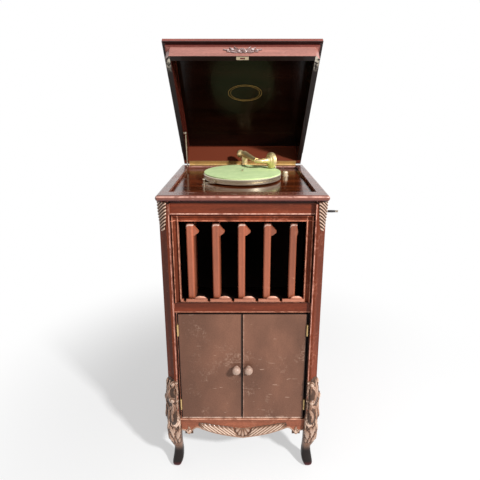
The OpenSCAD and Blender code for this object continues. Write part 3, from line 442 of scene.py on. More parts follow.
def varnishedWood(name, tone, spread=0.22, along="z", ribbon=0.6, pores=0.5, wear=0.3, scuffAndHighlight=(150, 110, 90),
                  roughness=0.3, coat=0.5, relief=0.0, bump=0.15, shine=0.35, edges=None, edgeWidth=0.0025,
                  lid=False, lines=()):
    # varnished mahogany: grain along one axis, rubbed at its edges, painted shade in a carving's hollows
    # and a painted highlight on its tops
    material, tree, shader = newMaterial(name)
    where = objectPlace(tree)
    if lid:
        where = lidSpace(where)
    grain = addNode(tree, "ShaderNodeGroup", node_tree=grainGroup, Deep=scaled(tone, 1 - spread),
                    Warm=scaled(tone, 1 + spread), Ribbon=ribbon, Pores=pores,
                    Vector=stretched(where, grainAlong[along])).outputs
    worn = addNode(tree, "ShaderNodeGroup", node_tree=wearGroup, Scuff=scuffAndHighlight, Amount=wear,
                   Vector=where, Colour=grain["Colour"]).outputs
    result = worn["Colour"]
    if edges:
        rubbed = addNode(tree, "ShaderNodeGroup", node_tree=edgeGroup, Low=edges[0], High=edges[1],
                         Width=edgeWidth, Vector=where)
        result = mixColour(rubbed.outputs["Mask"], result, scuffAndHighlight)
    # the relief attribute paints shade into the hollows and a highlight in the pale colour onto the tops
    if relief > 0:
        height = addNode(tree, "ShaderNodeAttribute", attribute_name="relief").outputs["Fac"]
        paintedHollowShade = scaled(tone, 1 - relief)
        shade = rampOf(height, [(0.0, scaled(paintedHollowShade, 0.5)), (0.25, paintedHollowShade), (0.6, tone), (1.0, scuffAndHighlight)])
        result = mixColour(0.7, result, shade)
    # painted lines of shade and highlight
    if lines:
        result = drawLines(where, result, lines)
    setValues(shader, Base_Color=result, Normal=bumped(grain["Height"], bump, 0.0006),
              Roughness=mapRange(worn["Dull"], end=(roughness, min(roughness + 0.25, 1.0))),
              Coat_Weight=coat, Coat_Roughness=0.1, Specular_IOR_Level=shine)
    return material, tree, shader


woodValues = {
    "rail": dict(tone=(124, 56, 34), along="x", wear=0.3, scuffAndHighlight=(190, 120, 88), roughness=0.38, coat=0.04,
        shine=0.15),
    # sill: a pale tone standing for painted light on the beads, a painted highlight along them and painted
    # shade below
    "sill": dict(tone=(196, 124, 96), along="x", wear=0.5, scuffAndHighlight=(226, 170, 146), roughness=0.34, coat=0.1,
        spread=0.12,
        lines=[("height", 706.4, 2.8, (236, 180, 154)), ("height", 698.8, 0.9, (112, 56, 40))]),
    "upright": dict(tone=(124, 58, 36), wear=0.4, scuffAndHighlight=(214, 150, 126), roughness=0.44, coat=0.0,
        shine=0.08),
    "side": dict(tone=(100, 44, 29), wear=0.25, roughness=0.36, coat=0.1, shine=0.2),
    "top": dict(tone=(122, 67, 52), along="x", wear=0.7, scuffAndHighlight=(222, 190, 176), roughness=0.22, coat=0.35,
        spread=0.2),
    "board": dict(tone=(96, 44, 21), along="x", wear=0.08, roughness=0.12, coat=0.22, bump=0.05, spread=0.35,
        shine=0.2),
    "door": dict(tone=(119, 82, 65), along="blotch", ribbon=0.25, pores=0.3, wear=0.6, scuffAndHighlight=(190, 158, 138),
        roughness=0.5, coat=0.04, spread=0.11, shine=0.2),
    "louvre": dict(tone=(156, 86, 60), ribbon=0.4, pores=0.3, wear=0.3, scuffAndHighlight=(204, 150, 122), roughness=0.38,
        coat=0.15, spread=0.16),
    # lidOut: the lid's mahogany made pale pink by a painted reflection of the sky
    "lidOut": dict(tone=(182, 122, 110), along="x", wear=0.35, scuffAndHighlight=(226, 190, 180), roughness=0.3, coat=0.2,
        spread=0.12, shine=0.25, lid=True),
    "leg": dict(tone=(104, 60, 44), wear=0.4, scuffAndHighlight=(176, 140, 120), roughness=0.45, coat=0.1),
    "apron": dict(tone=(142, 84, 62), along="x", wear=0.4, scuffAndHighlight=(206, 152, 126), roughness=0.45, coat=0.02,
        shine=0.15),
    # inner: near black, painted shade for the inside of the case
    "inner": dict(tone=(14, 7, 5), along="y", wear=0.02, roughness=0.8, coat=0.0, shine=0.1),
    # relief: how dark the painted shade in a carving's hollows gets; its pale colour is also its painted
    # highlight
    "carved": dict(tone=(146, 107, 85), wear=0.25, scuffAndHighlight=(244, 216, 194), roughness=0.38, coat=0.1,
        relief=0.94, shine=0.2),
    "ornament": dict(tone=(136, 102, 96), along="x", wear=0.2, scuffAndHighlight=(244, 226, 224), roughness=0.3, coat=0.3,
        relief=0.95, lid=True),
    "knob": dict(tone=(192, 160, 142), wear=0.3, scuffAndHighlight=(230, 208, 194), roughness=0.36, coat=0.3,
        spread=0.14),
    "grip": dict(tone=(30, 16, 12), along="x", wear=0.2, roughness=0.3),
}
plainWoods = ("side", "board", "leg", "inner", "carved", "ornament", "knob", "grip")
woods = {key: varnishedWood(key + "Wood", **woodValues[key])[0] for key in plainWoods}


def rubbedWoodWithPaintedLight(name, kind, **changes):
    # the wood of one square piece, with its own rubbed edges and its painted lines of shade and highlight
    low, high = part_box(name)
    values = {**woodValues[kind], "edges": (tuple(low), tuple(high)), **changes}
    return varnishedWood(name + "Wood", **values)[0]


print("woods mixed")

# The lid: worn outside and pale with a painted sky reflection, painted shade on its rim, dark and
# mirror-smooth inside

lidInside = {
    "low": (-0.2445, -0.5420, 0.0008),
    "high": (0.2445, -0.0285, 0.0870),
    "paintedLitLeftWall": -0.2425,
    "rearWall": (-0.0285, -0.008),
    "patchSides": 0.246,
    "patchEnds": (-0.49, -0.55),
    "streaks": (2.0, 14.0, 14.0),
    "tone": (19, 8, 4),
    # rim: painted shade under the lid; left: painted light on the left inner wall
    "rim": (26, 15, 11),
    "left": (84, 34, 26),
    "rear": (112, 54, 36),
    "patch": (206, 196, 178),
    "roughness": 0.03,
    "coat": 0.05,
    "coatRoughness": 0.02,
    "shine": 0.16,
}


def lidWood(name):
    # the outer wood, turned to the inner one where a point lies within the lid's hollow
    material, tree, shader = varnishedWood(name, **woodValues["lidOut"])
    where = lidSpace(objectPlace(tree))
    x, y, z = partsOf(where)
    across, deep, up = boxDepth(where, lidInside["low"], lidInside["high"])
    mask = math2("GREATER_THAN", math2("MINIMUM", math2("MINIMUM", across, deep), up), 0.0)
    clouds = noise(stretched(where, lidInside["streaks"]), 1.6, 4.0, 0.55)
    inner = rampOf(clouds, [(0.35, scaled(lidInside["tone"], 0.6)), (0.7, scaled(lidInside["tone"], 1.5))])
    # painted light: the left inner wall redder and lighter than the rest of the inside
    paintedLitLeftWall = math2("LESS_THAN", x, lidInside["paintedLitLeftWall"])
    inner = mixColour(times(paintedLitLeftWall, 0.8), inner, lidInside["left"])
    # painted shade, near black, on the rim underneath, with pale patches at its front corners
    under = math2("LESS_THAN", z, lidInside["low"][2])
    outer = mixColour(under, sourceOf(shader, "Base Color"), lidInside["rim"])
    aside = math2("GREATER_THAN", math2("ABSOLUTE", x), lidInside["patchSides"])
    atCorner = times(aside, mapRange(y, lidInside["patchEnds"]))
    fray = rampOf(noise(where, 90.0, 3.0, 0.7), [(0.46, 0.0), (0.56, 1.0)])
    palePatches = times(times(atCorner, fray), under)
    outer = mixColour(palePatches, outer, lidInside["patch"])
    near, far = lidInside["rearWall"]
    atRear = times(math2("GREATER_THAN", y, near), math2("LESS_THAN", y, far))
    outer = mixColour(atRear, outer, lidInside["rear"])
    # dull and coated outside, a mirror inside
    dull = times(sourceOf(shader, "Roughness"), math2("SUBTRACT", 1.0, mask))
    outerCoat = woodValues["lidOut"]["coat"]
    coat = math2("ADD", times(mask, lidInside["coat"] - outerCoat), outerCoat)
    setValues(shader, Base_Color=mixColour(mask, outer, inner), Coat_Weight=coat,
              Roughness=math2("ADD", dull, times(mask, lidInside["roughness"])),
              Coat_Roughness=lidInside["coatRoughness"], Specular_IOR_Level=lidInside["shine"])
    return material


# by height: a painted highlight on the crown's top edge and painted shade in the seam below its lip
crownShade = {
    "heights": (0.050, 0.100),
    "stops": [(0.0, (214, 190, 184)), (0.14, (150, 96, 90)), (0.24, (60, 40, 38)), (0.35, (60, 40, 38)),
        (0.42, (196, 150, 142)), (0.62, (208, 168, 160)), (0.72, (150, 130, 126))],
}


def crownWood(name):
    # the outer wood of the lid with a painted highlight on its top edge, a brown lip
    # and painted shade in the seam below it
    material, tree, shader = varnishedWood(name, **woodValues["lidOut"])
    height = partsOf(lidSpace(objectPlace(tree)))[2]
    shade = rampOf(mapRange(height, crownShade["heights"]), crownShade["stops"])
    setValues(shader, Base_Color=mixColour(1.0, sourceOf(shader, "Base Color"), shade, "MULTIPLY"))
    return material


sillShade = {
    "behind": (-0.2565, -0.2530),
    "tone": (16, 9, 7),
}


def sillWood(name):
    # pale beads in front, rubbed and lightened with painted light,
    # and painted shade on the floor of the grille behind them
    material, tree, shader = varnishedWood(name, **woodValues["sill"])
    behind = mapRange(partsOf(objectPlace(tree))[1], sillShade["behind"])
    setValues(shader, Base_Color=mixColour(behind, sourceOf(shader, "Base Color"), sillShade["tone"]))
    return material


# Metals and felt


def agedMetal(name, bright, stain, roughness=0.2, spots=0.5, spotScale=22.0, grain=0.08, metallic=1.0):
    # plated metal whose colour and gloss change with slow tarnish and a fine grain
    material, tree, shader = newMaterial(name)
    where = objectPlace(tree)
    fine = noise(where, 240.0, 2.0, 0.6)
    slow = rampOf(noise(where, spotScale, 5.0, 0.65), [(0.42, 0.0), (0.7, 1.0)])
    setValues(shader, Metallic=metallic, Normal=bumped(fine, grain, 0.0003),
              Base_Color=mixColour(times(slow, spots), bright, stain),
              Roughness=mapRange(fine, end=(roughness, roughness + 0.25)))
    return material


def wornFelt(name, pale, deep):
    # felt: soft mottling, short fibres in the bump and a velvet sheen
    material, tree, shader = newMaterial(name)
    where = objectPlace(tree)
    fibre = noise(where, 900.0, 3.0, 0.7, 0.8)
    setValues(shader, Base_Color=rampOf(noise(where, 26.0, 5.0, 0.6), [(0.35, deep), (0.62, pale)]),
              Normal=bumped(fibre, 0.5, 0.0005), Roughness=0.95, Sheen_Weight=0.15, Sheen_Roughness=0.4,
              Specular_IOR_Level=0.2)
    return material


metals = {
    "nickel": agedMetal("wornNickel", (206, 194, 172), (150, 122, 84), roughness=0.16, spots=0.35),
    "rim": agedMetal("rimNickel", (226, 216, 194), (186, 166, 130), spots=0.4, spotScale=5.0, grain=0.0),
    "brass": agedMetal("agedBrass", (250, 226, 170), (200, 166, 106), roughness=0.24, spots=0.4, grain=0.03,
        metallic=0.62),
    "plate": agedMetal("keeperPlate", (226, 208, 178), (150, 124, 92), roughness=0.35, metallic=0.6),
    "gilt": agedMetal("dullGilt", (196, 156, 88), (120, 90, 44), roughness=0.5, spots=0.6, spotScale=60.0,
                      metallic=0.5),
    "hinge": agedMetal("hingeBrass", (206, 176, 120), (150, 118, 70), roughness=0.3, metallic=0.45),
    "steel": agedMetal("crankSteel", (128, 118, 104), (74, 62, 50), roughness=0.3),
    "iron": agedMetal("blackIron", (44, 42, 42), (24, 22, 22), roughness=0.5),
}
felt = wornFelt("greenFelt", (214, 238, 170), (198, 226, 156))
print("metals and felt mixed")

# Which finish each piece of the model takes
finishes = {
    "side": ["left_side", "right_side", "back_panel"],
    "board": ["motor_board"],
    "leg": ["rear_left_leg", "rear_right_leg", "side_aprons"],
    # the inside pieces take the near-black painted shade
    "inner": ["cabinet_floor", "sound_shelf", "grille_soffit", "record_dividers", "horn"],
    "grip": ["crank_grip"],
    "nickel": ["spindle", "needle_lever", "brake_lever", "stay_pin", "lid_stay", "stay_track"],
    "steel": ["crank"],
    "plate": ["speed_knob", "lock_keeper"],
    "rim": ["platter"],
    "brass": ["tone_arm", "sound_box", "arm_base", "spring_barrel", "governor", "crank_bush"],
    "hinge": ["case_lid_hinge", "lid_hinge_leaf", "case_door_hinges", "left_door_hinges", "right_door_hinges",
              "louvre_link"],
    "iron": ["horn_elbow", "motor_frame"],
}

# Square pieces: their wood, the width of their rubbed edges, and painted lines of shade and highlight,
# each of a kind, its millimetre, half width and colour
# a painted highlight down the post's inner edge and a painted shadow under the moulding's nose
legLines = [("aside", 234.8, 1.2, (222, 160, 140)), ("height", 1042, 5, (34, 16, 12))]
# a painted shadow under the middle rail and a painted highlight along the door's foot
doorLines = [("height", 642, 1.8, (40, 22, 17)), ("height", 210.6, 1.6, (230, 200, 182))]
rubbedPiecesWithPaintedLight = {
    # dark lines are painted shade under overhangs, in recesses and in the gaps by the doors; pale lines are
    # painted highlights
    "top_rail": ("rail", 0.002, [
        ("height", 1043, 5, (34, 16, 12)), ("height", 1001.6, 2.0, (232, 178, 158))]),
    "middle_rail": ("rail", 0.003, [
        ("height", 684.6, 1.6, (52, 24, 18)), ("height", 650.4, 1.4, (190, 130, 106))]),
    "top_moulding": ("top", 0.006, [
        ("height", 1049.5, 4.0, (88, 38, 34)), ("height", 1062.6, 2.2, (204, 154, 138))]),
    "front_apron": ("apron", 0.002, [("height", 204.6, 1.5, (224, 166, 138))]),
    "left_door": ("door", 0.003, [
        ("aside", 0, 5.6, (12, 7, 5)), ("aside", 223.4, 1.6, (34, 18, 14))] + doorLines),
    "right_door": ("door", 0.003, [
        ("aside", 0, 1.8, (12, 7, 5)), ("aside", 4.4, 1.2, (172, 132, 112)),
        ("aside", 223.4, 1.8, (22, 12, 9))] + doorLines),
    "grille_frame": ("upright", 0.002, [
        ("aside", 231.2, 2.4, (28, 13, 10)), ("aside", 227.0, 1.3, (188, 126, 100)),
        ("aside", 210.0, 1.5, (204, 142, 116)), ("height", 997.4, 2.2, (58, 24, 17)),
        ("height", 977.5, 1.6, (206, 130, 102))]),
    "door_stiles": ("upright", 0.002, [
        ("aside", 230.8, 2.6, (26, 13, 10)), ("aside", 226.4, 1.1, (206, 146, 122)),
        # a painted cast shadow of the right post on the right stile
        ("right", 226.6, 6.0, (20, 10, 8))]),
    "front_left_leg": ("upright", 0.003, legLines),
    "front_right_leg": ("upright", 0.003, legLines),
}

# a painted rounded top for each louvre: painted shade above its cap line and a painted highlight along it
paintedLouvreCap = {
    "aside": 0.0125,        # from the louvre's left edge to the top of its cap, in metres
    "edge": (960.0, 2.6, (240, 204, 186)),
    "shade": (980, 18.0, (6, 3, 2)),
}
for i in range(1, 6):
    name = "louvre_%d" % i
    capTop = float(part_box(name)[0][0]) + paintedLouvreCap["aside"]
    rubbedPiecesWithPaintedLight[name] = ("louvre", 0.003, [(capTop, *paintedLouvreCap["edge"]), (capTop, *paintedLouvreCap["shade"])])

dressed = {name: woods.get(finish) or metals[finish] for finish, names in finishes.items() for name in names}
for name, (kind, width, lines) in rubbedPiecesWithPaintedLight.items():
    dressed[name] = rubbedWoodWithPaintedLight(name, kind, edgeWidth=width, lines=lines)
dressed.update(platter_felt=felt, grille_sill=sillWood("sillWood"), lid_crown=crownWood("lidCrownWood"),
               lid_frame=lidWood("lidFrameWood"), lid_board_panel=lidWood("lidBoardWood"))
for name, material in dressed.items():
    for slot in nodes[name].material_slots:
        slot.material = material
print("finishes laid on the model")

# Carved front legs: a skin over each shaped leg, leaves and an edge over its knee, and a hanging rope on top

# a painted shadow over the lower legs, and the red tip of the foot
footShade = {
    "height": 0.1,          # metres above the floor at which the dark ends
    "stops": [(0.0, (98, 24, 34)), (0.12, (74, 22, 28)), (0.24, (26, 19, 17)), (0.62, (30, 22, 20)),
        (0.95, (118, 92, 78))],
    "share": [(0.72, 1.0), (0.98, 0.0)],
}


def footWithPaintedShadow(name):
    # the carved wood, blackened towards the floor by a painted shadow, and turning red at the tip of the foot
    material, tree, shader = varnishedWood(name, **woodValues["carved"])
    level = mapRange(partsOf(objectPlace(tree))[2], (0.0, footShade["height"]))
    shade = rampOf(level, footShade["stops"])
    share = rampOf(level, footShade["share"])
    setValues(shader, Base_Color=mixColour(share, sourceOf(shader, "Base Color"), shade))
    return material


footWood = footWithPaintedShadow("carvedFootWood")


def ringPoints(row, turn, square):
    # points round rows of boxes: cosine and sine of the angle to the power 2 / square, times the half sizes
    c, s = np.cos(turn), np.sin(turn)
    across = np.sign(c) * np.abs(c) ** (2 / square)
    deep = np.sign(s) * np.abs(s) ** (2 / square)
    x = (row[:, 1] + row[:, 2])[:, None] / 2 + (row[:, 2] - row[:, 1])[:, None] / 2 * across
    y = (row[:, 3] + row[:, 4])[:, None] / 2 + (row[:, 4] - row[:, 3])[:, None] / 2 * deep
    z = np.repeat(row[:, :1], len(turn), axis=1)
    return np.stack([x, y, z], axis=-1)


def outwardOf(rings):
    # unit normals of rings: the cross product of the step along the ring and the step between rings
    alongRing = np.roll(rings, -1, 1) - np.roll(rings, 1, 1)
    normal = np.cross(alongRing, np.gradient(rings, axis=0))
    normal /= np.maximum(np.linalg.norm(normal, axis=-1, keepdims=True), 1e-9)
    middle = rings.mean(1, keepdims=True)
    return normal * np.where(((rings - middle) * normal).sum(-1).mean() > 0, 1, -1)


def fromCorner(rings, corner):
    # distance round each ring from its column at the outer corner, negative before it and positive after it
    step = np.linalg.norm(np.roll(rings, -1, 1) - rings, axis=-1)
    far = np.cumsum(step, axis=1) - step
    around = far - far[:, corner:corner + 1]
    total = step.sum(1, keepdims=True)
    return (around + total / 2) % total - total / 2


legSkin = {
    "proud": 0.35,
    "depth": 4.2,
    "square": 3.2,
    "grid": (260, 200),
    "corner": 25,           # the column at the outer corner
    # height, inner and outer distance across, inner and outer distance in depth
    "rows": [(244, 235.5, 265.0, 244.0, 273.5), (226, 233.0, 273.0, 242.0, 281.5),
        (206, 232.5, 275.5, 241.0, 284.0), (175.1, 227.5, 278.0, 236.0, 286.5),
        (133.9, 228.5, 275.5, 237.0, 284.0), (103, 229.0, 267.5, 237.0, 276.0),
        (76.2, 228.0, 259.5, 236.0, 268.0), (49.4, 226.0, 261.0, 235.0, 271.0),
        (26.8, 226.5, 264.5, 237.0, 281.0), (12.4, 231.5, 266.0, 242.0, 284.0),
        (0.3, 236.5, 261.5, 247.0, 277.0)],
    # root, angle, length and width of each leaf
    "leaves": [((0, 238), -90, 62, 7.5), ((5, 196), -74, 46, 6.5), ((11, 184), -80, 52, 6.0),
        ((46, 226), -96, 50, 6.0), ((44, 178), -104, 48, 6.0), ((34, 172), -96, 44, 5.5),
        ((38, 136), -108, 30, 4.6), ((22, 138), -96, 36, 4.8), ((18, 186), -92, 44, 5.5),
        ((24, 186), -100, 36, 5.0), ((3, 158), -84, 40, 5.0), ((11, 142), -94, 34, 4.4),
        ((34, 214), -100, 34, 4.5)],
    # middle, radius, turns and hand of each volute
    "volutes": [((27.0, 204.0), 18.0, 1.5, 1)],
    "plainBelow": 104,
}


def legCarving(q, z):
    # leaves and a volute, the same on both sides of the corner that q runs round from, over fine scales
    side = np.abs(q)
    field = carved(side, z, legSkin)
    scales = 0.35 * np.abs(np.sin(side / 3.6 + np.floor(z / 7) * 1.57)) * (z % 7 / 7)
    fade = np.clip((z - 84) / 40, 0, 1) * np.clip((250 - z) / 12, 0, 1) * np.clip((56 - side) / 8, 0, 1)
    return np.maximum(field, scales * np.clip((190 - z) / 20, 0, 1)) * fade


def makeLegSkin(name, side):
    # the leg's own rings, raised by the carving along their normals and mirrored to its corner
    rows, columns = legSkin["grid"]
    rings = ringPoints(throughRows(legSkin["rows"], rows), wholeTurn(columns, 0.5), legSkin["square"])
    height = rings[..., 2]
    field = legCarving(fromCorner(rings, legSkin["corner"]), height)
    rings = rings + outwardOf(rings) * (legSkin["proud"] + legSkin["depth"] * field)[..., None]
    height = rings[..., 2]
    # the relief paints shade into the grounds and hollows and a highlight onto the leaves
    relief = 0.48 + 0.52 * field - 0.34 * (field < 0.12) * (height > legSkin["plainBelow"])
    relief = np.where(height < legSkin["plainBelow"], 0.5, relief)
    piece = tubeFrom(name, rings * (side / 1000, -0.001, 0.001), relief)
    return place(piece, footWood, "cabinet")


def placeCarved(piece):
    return place(piece, woods["carved"], "cabinet")


# Where the knee's leaves and the rope lie: on the chamfered corner of the post
chamfer = {
    "across": 257.0,
    "depth": 265.5,
}


def cornerOvals(reach, breadth, height, sunk, turn):
    # ovals that stand out of the corner by their reach and are sunk behind it; outwards, along it and up
    half = (reach + sunk) / 2
    outwards = (half - sunk)[:, None] + half[:, None] * np.cos(turn)
    along = breadth[:, None] * np.sin(turn)
    return np.stack([outwards, along, np.repeat(height[:, None], len(turn), axis=1)], axis=-1)


def toCorner(rings, side):
    # rings turned by 45 degrees and moved to the corner, in metres
    a, b, z = (rings[..., k] for k in range(3))
    x = chamfer["across"] + (a - b) / math.sqrt(2)
    y = chamfer["depth"] + (a + b) / math.sqrt(2)
    return np.stack([side * x, -y, z], axis=-1) / 1000


kneeSkin = {
    "proud": 0.4,
    "relief": 5.0,
    "sunk": 6,
    "grid": (230, 150),
    # height, half width round the corner, reach outwards
    "rows": [(388, 6, 1.5), (374, 19, 6), (346, 22, 12), (311, 27, 17), (281, 25, 14), (251, 27, 16),
        (221, 29, 20), (196, 22, 17)],
    "leaves": [((-20, 296), 62, 92, 9.5), ((20, 288), 114, 76, 9.0), ((0, 326), 92, 56, 8.5),
        ((24, 330), 88, 50, 7.0), ((-24, 330), 96, 44, 7.0), ((24, 262), 96, 40, 8.0),
        ((-24, 258), 84, 42, 8.0), ((15, 350), 72, 30, 5.0), ((-13, 352), 108, 28, 5.0),
        ((-4, 262), 40, 34, 8.0), ((8, 250), 128, 44, 8.0), ((-12, 232), 100, 50, 8.0),
        ((14, 226), 74, 46, 7.5), ((0, 214), 92, 48, 7.0), ((-20, 214), 84, 36, 6.0),
        ((22, 212), 96, 36, 6.0)],
    "volutes": [((-19, 309), 12, 1.3, 1), ((17, 369), 9, 1.3, -1), ((-16, 371), 9, 1.3, 1),
        ((22, 300), 10, 1.3, -1)],
    "fadeTop": 388,
}


def makeKneeSkin(name, side):
    # ovals raised on their outer half by two long crossing leaves with curled ends
    rows, columns = kneeSkin["grid"]
    height, breadth, reach = throughRows(kneeSkin["rows"], rows).T
    turn = wholeTurn(columns)
    rings = cornerOvals(reach, breadth, height, kneeSkin["sunk"], turn)
    u, z = rings[..., 1] * side, rings[..., 2]
    field = carved(u, z, kneeSkin) * np.clip((kneeSkin["fadeTop"] - z) / 6, 0, 1)
    field = field * np.clip(np.cos(turn) + 0.45, 0, 1)
    rings = rings + outwardOf(rings) * (kneeSkin["proud"] + kneeSkin["relief"] * field)[..., None]
    # the relief paints shade into the hollows and a highlight onto the leaves
    return placeCarved(tubeFrom(name, toCorner(rings, side), 0.16 + 0.84 * field))


ropeSkin = {
    "top": 1043.0,
    "length": 97.0,
    "width": 20.5,
    "reach": (1.4, 3.4),    # at its foot, and what it gains towards its top
    "sunk": 5,
    "grid": (190, 72),
    "pitch": 10.6,
    "slope": 0.85,
    "relief": 4.2,
}


def makeRopeSkin(name, side):
    # half of a hanging rope: shrinking ovals, ridged by circles over height less slope times breadth
    rows, columns = ropeSkin["grid"]
    s = np.linspace(0, 0.995, rows)
    turn = wholeTurn(columns)
    reach = ropeSkin["reach"][0] + ropeSkin["reach"][1] * (1 - s ** 2)
    breadth = ropeSkin["width"] * np.sqrt(1 - s ** 2)
    rings = cornerOvals(reach, breadth, ropeSkin["top"] - ropeSkin["length"] * s, ropeSkin["sunk"], turn)
    phase = (rings[..., 2] - ropeSkin["slope"] * rings[..., 1]) / ropeSkin["pitch"] % 1.0
    field = np.sqrt(np.clip(1 - (2 * phase - 1) ** 2, 0, 1)) ** 2.2
    raised = ropeSkin["relief"] * field * np.clip(np.cos(turn) + 0.5, 0, 1)
    rings = rings + outwardOf(rings) * raised[..., None]
    # the relief paints shade into the grooves and a highlight onto the ridges
    return placeCarved(tubeFrom(name, toCorner(rings, side), 0.9 * field ** 1.6))


def carvedSlab(name, x, y, z, face, field, ground):
    # a carved front over a flat back 3 mm behind the face; the ground's painted shade rises
    # with the field to 1, a painted highlight
    front = np.stack([x, y, z], axis=-1) / 1000
    back = np.stack([x, np.full_like(x, face + 3), z], axis=-1) / 1000
    return placeCarved(slabFrom(name, front, back, ground + (1 - ground) * field))


kneeEdge = {
    "middle": 239.5,
    "face": -279.0,
    "relief": 5.0,
    "across": (-9, 9),
    "up": (205.0, 388.0),
    "grid": (60, 460),
    "leaves": [((3, 384), -100, 60, 6.0), ((-5, 352), -82, 62, 5.5), ((4, 318), -98, 58, 6.5),
        ((-5, 292), -78, 50, 5.5), ((3, 262), -102, 52, 6.5), ((-4, 246), -88, 40, 5.0)],
    "volutes": [((-4, 376), 5.5, 1.2, 1), ((-3, 300), 6.0, 1.2, -1), ((-4, 228), 6.0, 1.2, 1)],
}


def makeKneeEdge(name, side):
    # the inner edge of the knee carving, on the flat front of the post: leaves and volutes over a narrow grid
    u, z = flatGrid(kneeEdge)
    field = carved(u, z, kneeEdge)
    y = kneeEdge["face"] + 1.0 - (kneeEdge["relief"] + 1.0) * field
    return carvedSlab(name, side * (kneeEdge["middle"] + u), y, z, kneeEdge["face"], field, 0.2)


for side, word in ((-1, "left"), (1, "right")):
    makeLegSkin(word + "LegSkin", side)
    makeKneeSkin(word + "KneeLeaf", side)
    makeKneeEdge(word + "KneeEdge", side)
    makeRopeSkin(word + "RopeDrop", side)
print("front legs carved")

# Carved apron: slanting flutes that run to a shell in the middle

apronShape = {
    # distance from the middle, height of the edge
    "edge": [(0, 122), (28, 126), (55, 131), (90, 139), (118, 148), (148, 160), (170, 168), (188, 155),
        (200, 139), (213, 154), (226, 158), (234, 158)],
    "face": -268.0,
    "halfLength": 168.0,
    "band": 44.0,
    "narrowing": 0.45,      # share of the band lost at its ends
    "grid": (520, 84),
    "pitch": 13.5,
    "slant": 1.15,
    "relief": 7.0,
    "endFade": 26,
    "shell": (0.0, 176.0, 31.0, 48.0),
    "ribs": 6,
}


def makeApronCarving():
    # flutes over a band above the edge: a circle over breadth plus height, and a fan of ribs over the middle
    columns, rows = apronShape["grid"]
    long, face = apronShape["halfLength"], apronShape["face"]
    edge = throughRows(apronShape["edge"], 400)
    x, t = np.meshgrid(np.linspace(-1, 1, columns) * long, np.linspace(0, 1, rows))
    aside = np.abs(x)
    band = apronShape["band"] * (1 - apronShape["narrowing"] * np.clip(aside / long, 0, 1) ** 3)
    z = np.interp(aside, edge[:, 0], edge[:, 1]) + 0.6 + t * band
    phase = (apronShape["slant"] * (z - 150) - aside) / apronShape["pitch"] % 1.0
    ridge = np.sqrt(np.clip(1 - (2 * phase - 1) ** 2, 0, 1))
    flow = np.clip(np.sin(math.pi * np.clip(t * 1.02, 0, 1)) * 1.5, 0, 1) ** 0.7
    flutes = ridge * flow * np.clip((long - aside) / apronShape["endFade"], 0, 1)
    middle, height, width, tall = apronShape["shell"]
    fan = shellStroke(x, 2 * height - z, (middle, height), width, tall, apronShape["ribs"])
    border = np.clip(np.hypot((x - middle) / (width + 6), (z - height) / (tall + 5)) * 6 - 5, 0, 1)
    field = np.where(z <= height, np.maximum(flutes * border, fan), flutes * border)
    edgeDown = np.minimum(np.clip(t * 30, 0, 1), np.clip((1 - t) * 30, 0, 1))
    y = face - (apronShape["relief"] * field - 0.8) * edgeDown + (1 - edgeDown)
    return carvedSlab("apronFlutes", x, y, z, face, field, 0.08)


edgeBead = {
    "radius": 3.0,
    "inset": 2.2,
    "sunk": 0.2,
    "halfLength": 231,
}


def makeEdgeBead():
    # a bead along the apron's edge: a circle carried along the edge line, square to its slope
    edge = throughRows(apronShape["edge"], 240)
    line = np.concatenate([edge[::-1] * (-1, 1), edge[1:]])
    line = line[np.abs(line[:, 0]) < edgeBead["halfLength"]]
    slope = np.gradient(line, axis=0)
    slope /= np.linalg.norm(slope, axis=1, keepdims=True)
    turn = wholeTurn(12)
    up = np.stack([-slope[:, 1], slope[:, 0]], axis=1)
    off = edgeBead["inset"] + edgeBead["radius"] * np.cos(turn)
    x = line[:, :1] + up[:, :1] * off
    z = line[:, 1:] + up[:, 1:] * off
    y = apronShape["face"] - edgeBead["sunk"] + edgeBead["radius"] * np.sin(turn) + np.zeros_like(x)
    rings = np.stack([x, y, z], axis=-1) / 1000
    return placeCarved(tubeFrom("apronBead", rings, np.full(x.shape, 0.7)))


pendant = {
    "middle": (200, 154),
    "relief": 5.0,
    "across": (-15, 15),
    "up": (-14, 22),
    "grid": (90, 108),
    "leaves": [((-4, 4), 70, 18, 6)],
    "volutes": [((0, 0), 11, 1.3, 1)],
}


def makePendantScroll(name, side):
    # a small volute and leaf on the drop near each end of the apron, mirrored by the side
    u, v = flatGrid(pendant)
    field = carved(side * u, v, pendant)
    y = apronShape["face"] + 1.0 - pendant["relief"] * field
    across, height = pendant["middle"]
    return carvedSlab(name, side * across + u, y, height + v, apronShape["face"], field, 0.2)


makeApronCarving()
makeEdgeBead()
for side, word in ((-1, "left"), (1, "right")):
    makePendantScroll(word + "PendantScroll", side)
print("apron carved")

# Lid ornament, bare oval badge, turned knobs and crank grip


def onLid(x, y, z):
    # points of the shut lid, in millimetres, turned open about the hinge line
    c, s = math.cos(lidTurn), math.sin(lidTurn)
    return np.stack([x / 1000, hingeLine[1] + (y * c + z * s) / 1000, hingeLine[2] + (z * c - y * s) / 1000],
                    axis=-1)


ornament = {
    "front": -559.5,
    "height": 31.0,
    "depth": 7.5,
    "across": (-68, 68),
    "up": (-15, 17),
    "grid": (420, 110),
    "leaves": [((9, -4), 18, 34, 7.5), ((9, -8), -8, 30, 6.0), ((12, 3), 38, 22, 5.0), ((36, 0), 4, 31, 4.6),
        ((34, -4), -16, 20, 4.0), ((30, 4), 30, 18, 4.0)],
    "volutes": [((34, 2), 7.5, 1.4, 1), ((12, -6), 6.0, 1.2, 1), ((50, -1), 5.0, 1.2, 1)],
}


